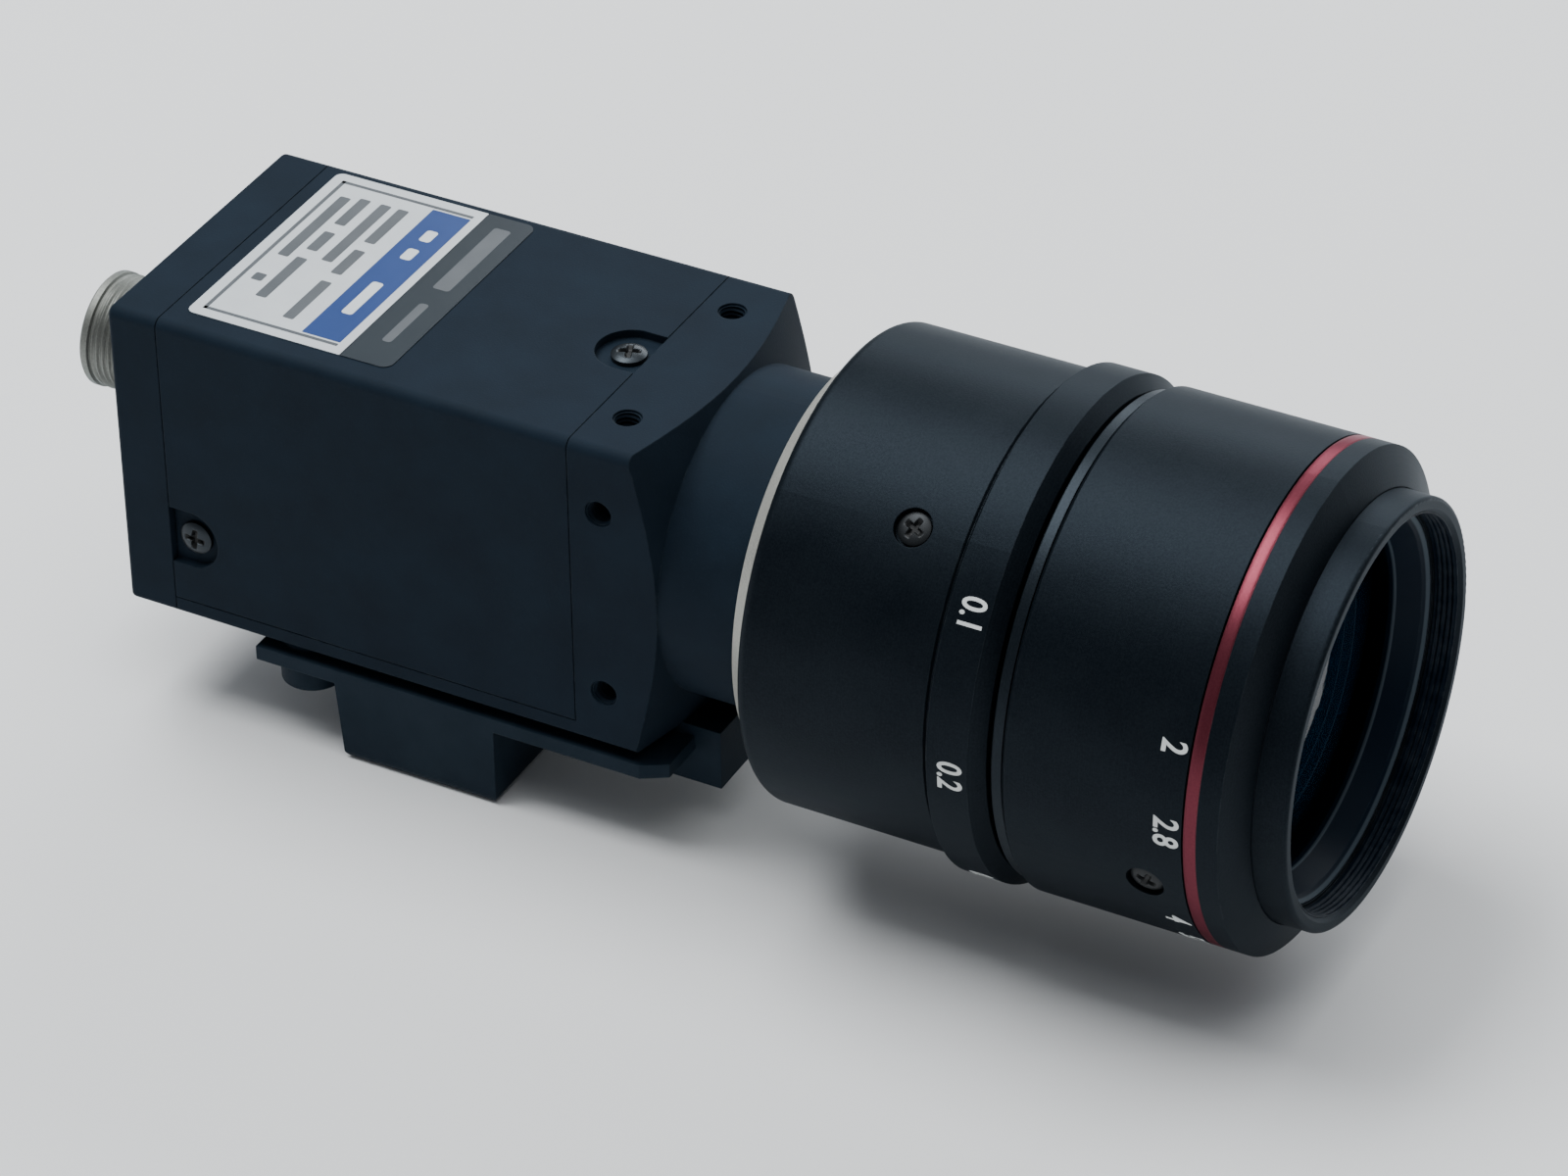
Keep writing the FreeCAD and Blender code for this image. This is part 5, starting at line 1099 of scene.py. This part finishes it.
@dataclass
class RingScale:
    """Plain numbers printed round a ring, their tops towards the lens's mouth."""

    name: str
    radius: float
    ahead: float
    marks: Tuple[Mark, ...]
    height: float = 3.7 * MM
    squeeze: float = 0.78
    swelling: float = 0.018  # how much bolder than the font, in its units
    film: float = 0.03 * MM
    slice_width: float = 0.45 * MM

    def letter_mesh(self, text: str) -> bpy.types.Mesh:
        """A number as a flat mesh, one metre to the font's unit."""
        curve = bpy.data.curves.new(f"{self.name}_digits", "FONT")
        curve.body = text
        curve.size = 1.0
        curve.offset = self.swelling
        curve.resolution_u = 5
        stand_in = bpy.data.objects.new(f"{self.name}_digits", curve)
        flat = bpy.data.meshes.new_from_object(stand_in)
        bpy.data.objects.remove(stand_in)
        bpy.data.curves.remove(curve)
        return flat

    def add_mark(self, mesh: Mesh, mark: Mark, axis_up: float) -> None:
        """Scale a number, cut it in slices, wrap it round the ring and give it its thickness."""
        flat = self.letter_mesh(mark.text)
        piece = bmesh.new()
        piece.from_mesh(flat)
        bpy.data.meshes.remove(flat)
        bmesh.ops.remove_doubles(piece, verts=piece.verts, dist=1e-5)
        xs = [vert.co.x for vert in piece.verts]
        ys = [vert.co.y for vert in piece.verts]
        left, right, foot = min(xs), max(xs), min(ys)
        tall = self.height / (max(ys) - foot)
        wide = tall * self.squeeze
        for vert in piece.verts:
            vert.co = ((vert.co.x - (left + right) / 2.0) * wide, (vert.co.y - foot) * tall, 0.0)
        half = (right - left) / 2.0 * wide
        for cut in range(1, int(2.0 * half / self.slice_width) + 1):
            bmesh.ops.bisect_plane(piece, geom=piece.verts[:] + piece.edges[:] + piece.faces[:],
                                   plane_co=(-half + cut * self.slice_width, 0.0, 0.0),
                                   plane_no=(1.0, 0.0, 0.0))
        raised = bmesh.ops.extrude_face_region(piece, geom=piece.faces[:])
        top = {vert for vert in raised["geom"] if isinstance(vert, Vert)}
        copied: Dict[Vert, Vert] = {}
        for vert in piece.verts:
            angle = math.radians(mark.angle) + vert.co.x / self.radius
            reach = self.radius + (self.film if vert in top else -self.film)
            copied[vert] = mesh.verts.new((
                self.ahead + vert.co.y - self.height / 2.0, reach * math.cos(angle),
                axis_up + reach * math.sin(angle)))
        for face in piece.faces:
            mesh.faces.new([copied[vert] for vert in face.verts])
        piece.free()

    def build(self, shop: Workshop, axis_up: float, body: Body) -> None:
        """Print every number of the scale as one piece."""
        mesh = bmesh.new()
        for mark in self.marks:
            self.add_mark(mesh, mark, axis_up)
        shop.deliver(self.name, mesh, SCALE_INK, body)


@dataclass
class Lens:
    """The manual lens: mount ring, focus ring, iris ring, red ring, nose and glass."""

    places: Places
    band_radius: float = 35.95 * MM
    ring_radius: float = 35.5 * MM
    focus_radius: float = 34.4 * MM
    band_middle: float = 63.95 * MM
    iris_print: float = 95.1 * MM
    focus_lock_ahead: float = 51.7 * MM
    focus_lock_angle: float = 130.7
    iris_lock_ahead: float = 91.6 * MM
    iris_lock_angle: float = 198.1
    lock_sink: float = 1.2 * MM
    lip_bore: float = 28.0 * MM
    filter_thread: Thread = Thread(pitch=0.75 * MM, depth=0.22 * MM, fade=0.4 * MM)
    filter_ends: Span = (3.9 * MM, 0.5 * MM)
    filter_steps: int = 160
    # Where the front retainer's painted highlight lines lie, back from its mouth.
    highlight_edge: float = 0.2 * MM
    highlight_step: float = 4.1 * MM
    lock_turn: float = 1.15
    focus_marks: Tuple[Mark, ...] = (Mark("0.1", 144.8), Mark("0.2", 182.8), Mark("0.3", 226.0),
                                     Mark("0.5", 268.0), Mark("1", 306.0))
    iris_marks: Tuple[Mark, ...] = (Mark("2", 160.2), Mark("2.8", 180.7), Mark("4", 211.0),
                                    Mark("5.6", 226.0), Mark("8", 241.0))

    def build(self, shop: Workshop) -> None:
        """Make and dress every piece of the lens."""
        self.dress_rings(shop)
        self.build_lock_screws(shop)
        seam, up = self.places.seam, self.places.axis_up
        RingScale("focus_scale_numbers", self.band_radius, seam + self.band_middle,
                  self.focus_marks).build(shop, up, Body.FOCUS_GRIP)
        RingScale("iris_scale_numbers", self.ring_radius, seam + self.iris_print,
                  self.iris_marks).build(shop, up, Body.IRIS_GRIP)
        self.build_filter_thread(shop)

    def dress_rings(self, shop: Workshop) -> None:
        """Give each CAD node of the lens its finish."""
        shop.dress(BARE_METAL, "lens_mount_ring", "guide_pin", "iris_drive_pin")
        shop.dress(LENS_BLACK, "lens_core", "focus_ring", "iris_ring", "nose_ring", "filter_ring",
                   "spacer_ring", "middle_retainer", "rear_retainer", "iris_base", "iris_cover",
                   "iris_cam_ring")
        shop.dress(BARREL_BLACK, "inner_barrel")
        _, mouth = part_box("front_retainer")
        shop.dress(replace(RETAINER_BLACK, highlight_lines=(
            mouth.x - self.highlight_edge, mouth.x - self.highlight_step)), "front_retainer")
        shop.dress(LENS_RED, "red_ring")
        shop.dress(FRONT_GLASS, "front_element")
        shop.dress(GLASS, "middle_element", "rear_element")
        shop.dress(BLADE_STEEL, *(f"iris_blade_{number}" for number in range(1, 7)))

    def build_lock_screws(self, shop: Workshop) -> None:
        """The screws that lock the focus and iris rings."""
        for name, node, body, radius, ahead, angle in (
                ("focus_lock_head", "focus_lock_screw", Body.FOCUS_GRIP, self.focus_radius,
                 self.focus_lock_ahead, self.focus_lock_angle),
                ("iris_lock_head", "iris_lock_screw", Body.IRIS_GRIP, self.ring_radius,
                 self.iris_lock_ahead, self.iris_lock_angle)):
            turn = math.radians(angle)
            outward = Vector((0.0, math.cos(turn), math.sin(turn)))
            seat = Vector((self.places.seam + ahead, 0.0, self.places.axis_up)) + outward * (
                radius - self.lock_sink)
            CrossScrews(name, head_radius=2.35 * MM, head_height=0.9 * MM, shank_radius=1.2 * MM,
                        shank_length=1.6 * MM, places=[(seat, outward)], finish=LOCK_BLACK,
                        turn=self.lock_turn).build(shop, body, node)

    def build_filter_thread(self, shop: Workshop) -> None:
        """The fine thread inside the lip."""
        mesh = bmesh.new()
        _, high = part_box("filter_ring")
        start, end = self.filter_ends
        rings = self.filter_thread.in_bore(high.x - start, high.x - end, self.lip_bore)
        add_lathe(mesh, rings, self.filter_steps, self.filter_thread.pitch,
                  Matrix.Translation((0.0, 0.0, self.places.axis_up)))
        shop.deliver("filter_thread_ridges", mesh, MOUTH_BLACK, Body.OPTICS_UNIT)


# Stage
@dataclass(frozen=True)
class Panel:
    """A soft rectangular light: where it hangs, what it faces, its size, power and colour."""

    name: str
    spot: Point
    aim: Point
    size: Span
    watts: float
    color: Color

    def hang(self) -> None:
        """Put it in the scene."""
        light = bpy.data.lights.new(self.name, "AREA")
        light.shape = "RECTANGLE"
        light.size, light.size_y = self.size
        light.energy = self.watts
        light.color = self.color
        lamp = bpy.data.objects.new(self.name, light)
        lamp.location = self.spot
        facing = (Vector(self.aim) - Vector(self.spot)).to_track_quat("-Z", "Y")
        lamp.rotation_euler = facing.to_euler()
        bpy.context.scene.collection.objects.link(lamp)


@dataclass
class Studio:
    """A pale table, soft lights and the viewpoint."""

    table_reach: float = 4.0
    table_drop: float = 0.02 * MM
    air: Color = (0.88, 0.93, 1.0)
    air_strength: float = 0.24
    panels: Tuple[Panel, ...] = (
        Panel("key_panel", (-0.58, 0.04, 1.52), (0.05, 0.0, 0.04), (1.2, 0.75), 30.0,
              (0.95, 0.98, 1.0)),
        Panel("far_panel", (0.10, 1.60, 0.85), (0.05, 0.0, 0.05), (1.9, 0.8), 25.0,
              (0.93, 0.97, 1.0)),
        Panel("table_panel", (0.2, -0.1, 2.4), (0.05, 0.0, 0.0), (2.2, 2.2), 31.0,
              (0.97, 0.99, 1.0)))
    camera_spot: Point = (0.38260, -0.62487, 0.53450)
    right: Point = (0.88406, 0.46727, -0.00962)
    above: Point = (-0.26261, 0.51367, 0.81681)
    back: Point = (0.38661, -0.71959, 0.57682)
    lens_mm: float = 143.24
    film_mm: float = 36.0

    def build(self) -> None:
        """Lay the table, hang the lights and set the camera."""
        self.lay_table()
        self.set_world()
        for panel in self.panels:
            panel.hang()
        self.place_camera()

    def lay_table(self) -> None:
        """A wide flat table under the foot."""
        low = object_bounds()[0]
        mesh = bmesh.new()
        reach = self.table_reach
        mesh.faces.new([mesh.verts.new((x, y, low[2] - self.table_drop)) for x, y in (
            (-reach, -reach), (reach, -reach), (reach, reach), (-reach, reach))])
        table = make_piece("table", mesh, PaleFloor("pale_table"))
        table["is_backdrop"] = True

    def set_world(self) -> None:
        """Even, dim light from all around."""
        world = bpy.data.worlds.new("studio_air")
        world.use_nodes = True
        surface = world.node_tree.nodes["Background"]
        surface.inputs["Color"].default_value = (*self.air, 1.0)
        surface.inputs["Strength"].default_value = self.air_strength
        bpy.context.scene.world = world

    def place_camera(self) -> None:
        """Set the camera above the lens's near side."""
        camera = bpy.data.cameras.new("viewpoint")
        camera.lens = self.lens_mm
        camera.sensor_width = self.film_mm
        camera.clip_start = 0.02
        viewer = bpy.data.objects.new("viewpoint", camera)
        turn = Matrix((self.right, self.above, self.back)).transposed().to_4x4()
        viewer.matrix_world = Matrix.Translation(self.camera_spot) @ turn
        bpy.context.scene.collection.objects.link(viewer)
        bpy.context.scene.camera = viewer


def main() -> None:
    """Load the frame, build every sub-assembly round it and set the stage."""
    logging.basicConfig(level=logging.INFO, format="%(message)s", stream=sys.stdout)
    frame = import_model()
    places = Places.read()
    shop = Workshop(frame)
    CameraHead(places).build(shop)
    RearConnector().build(shop)
    SensorStack().build(shop)
    TripodFoot().build(shop)
    Lens(places).build(shop)
    Studio().build()


if __name__ == "__main__":
    main()
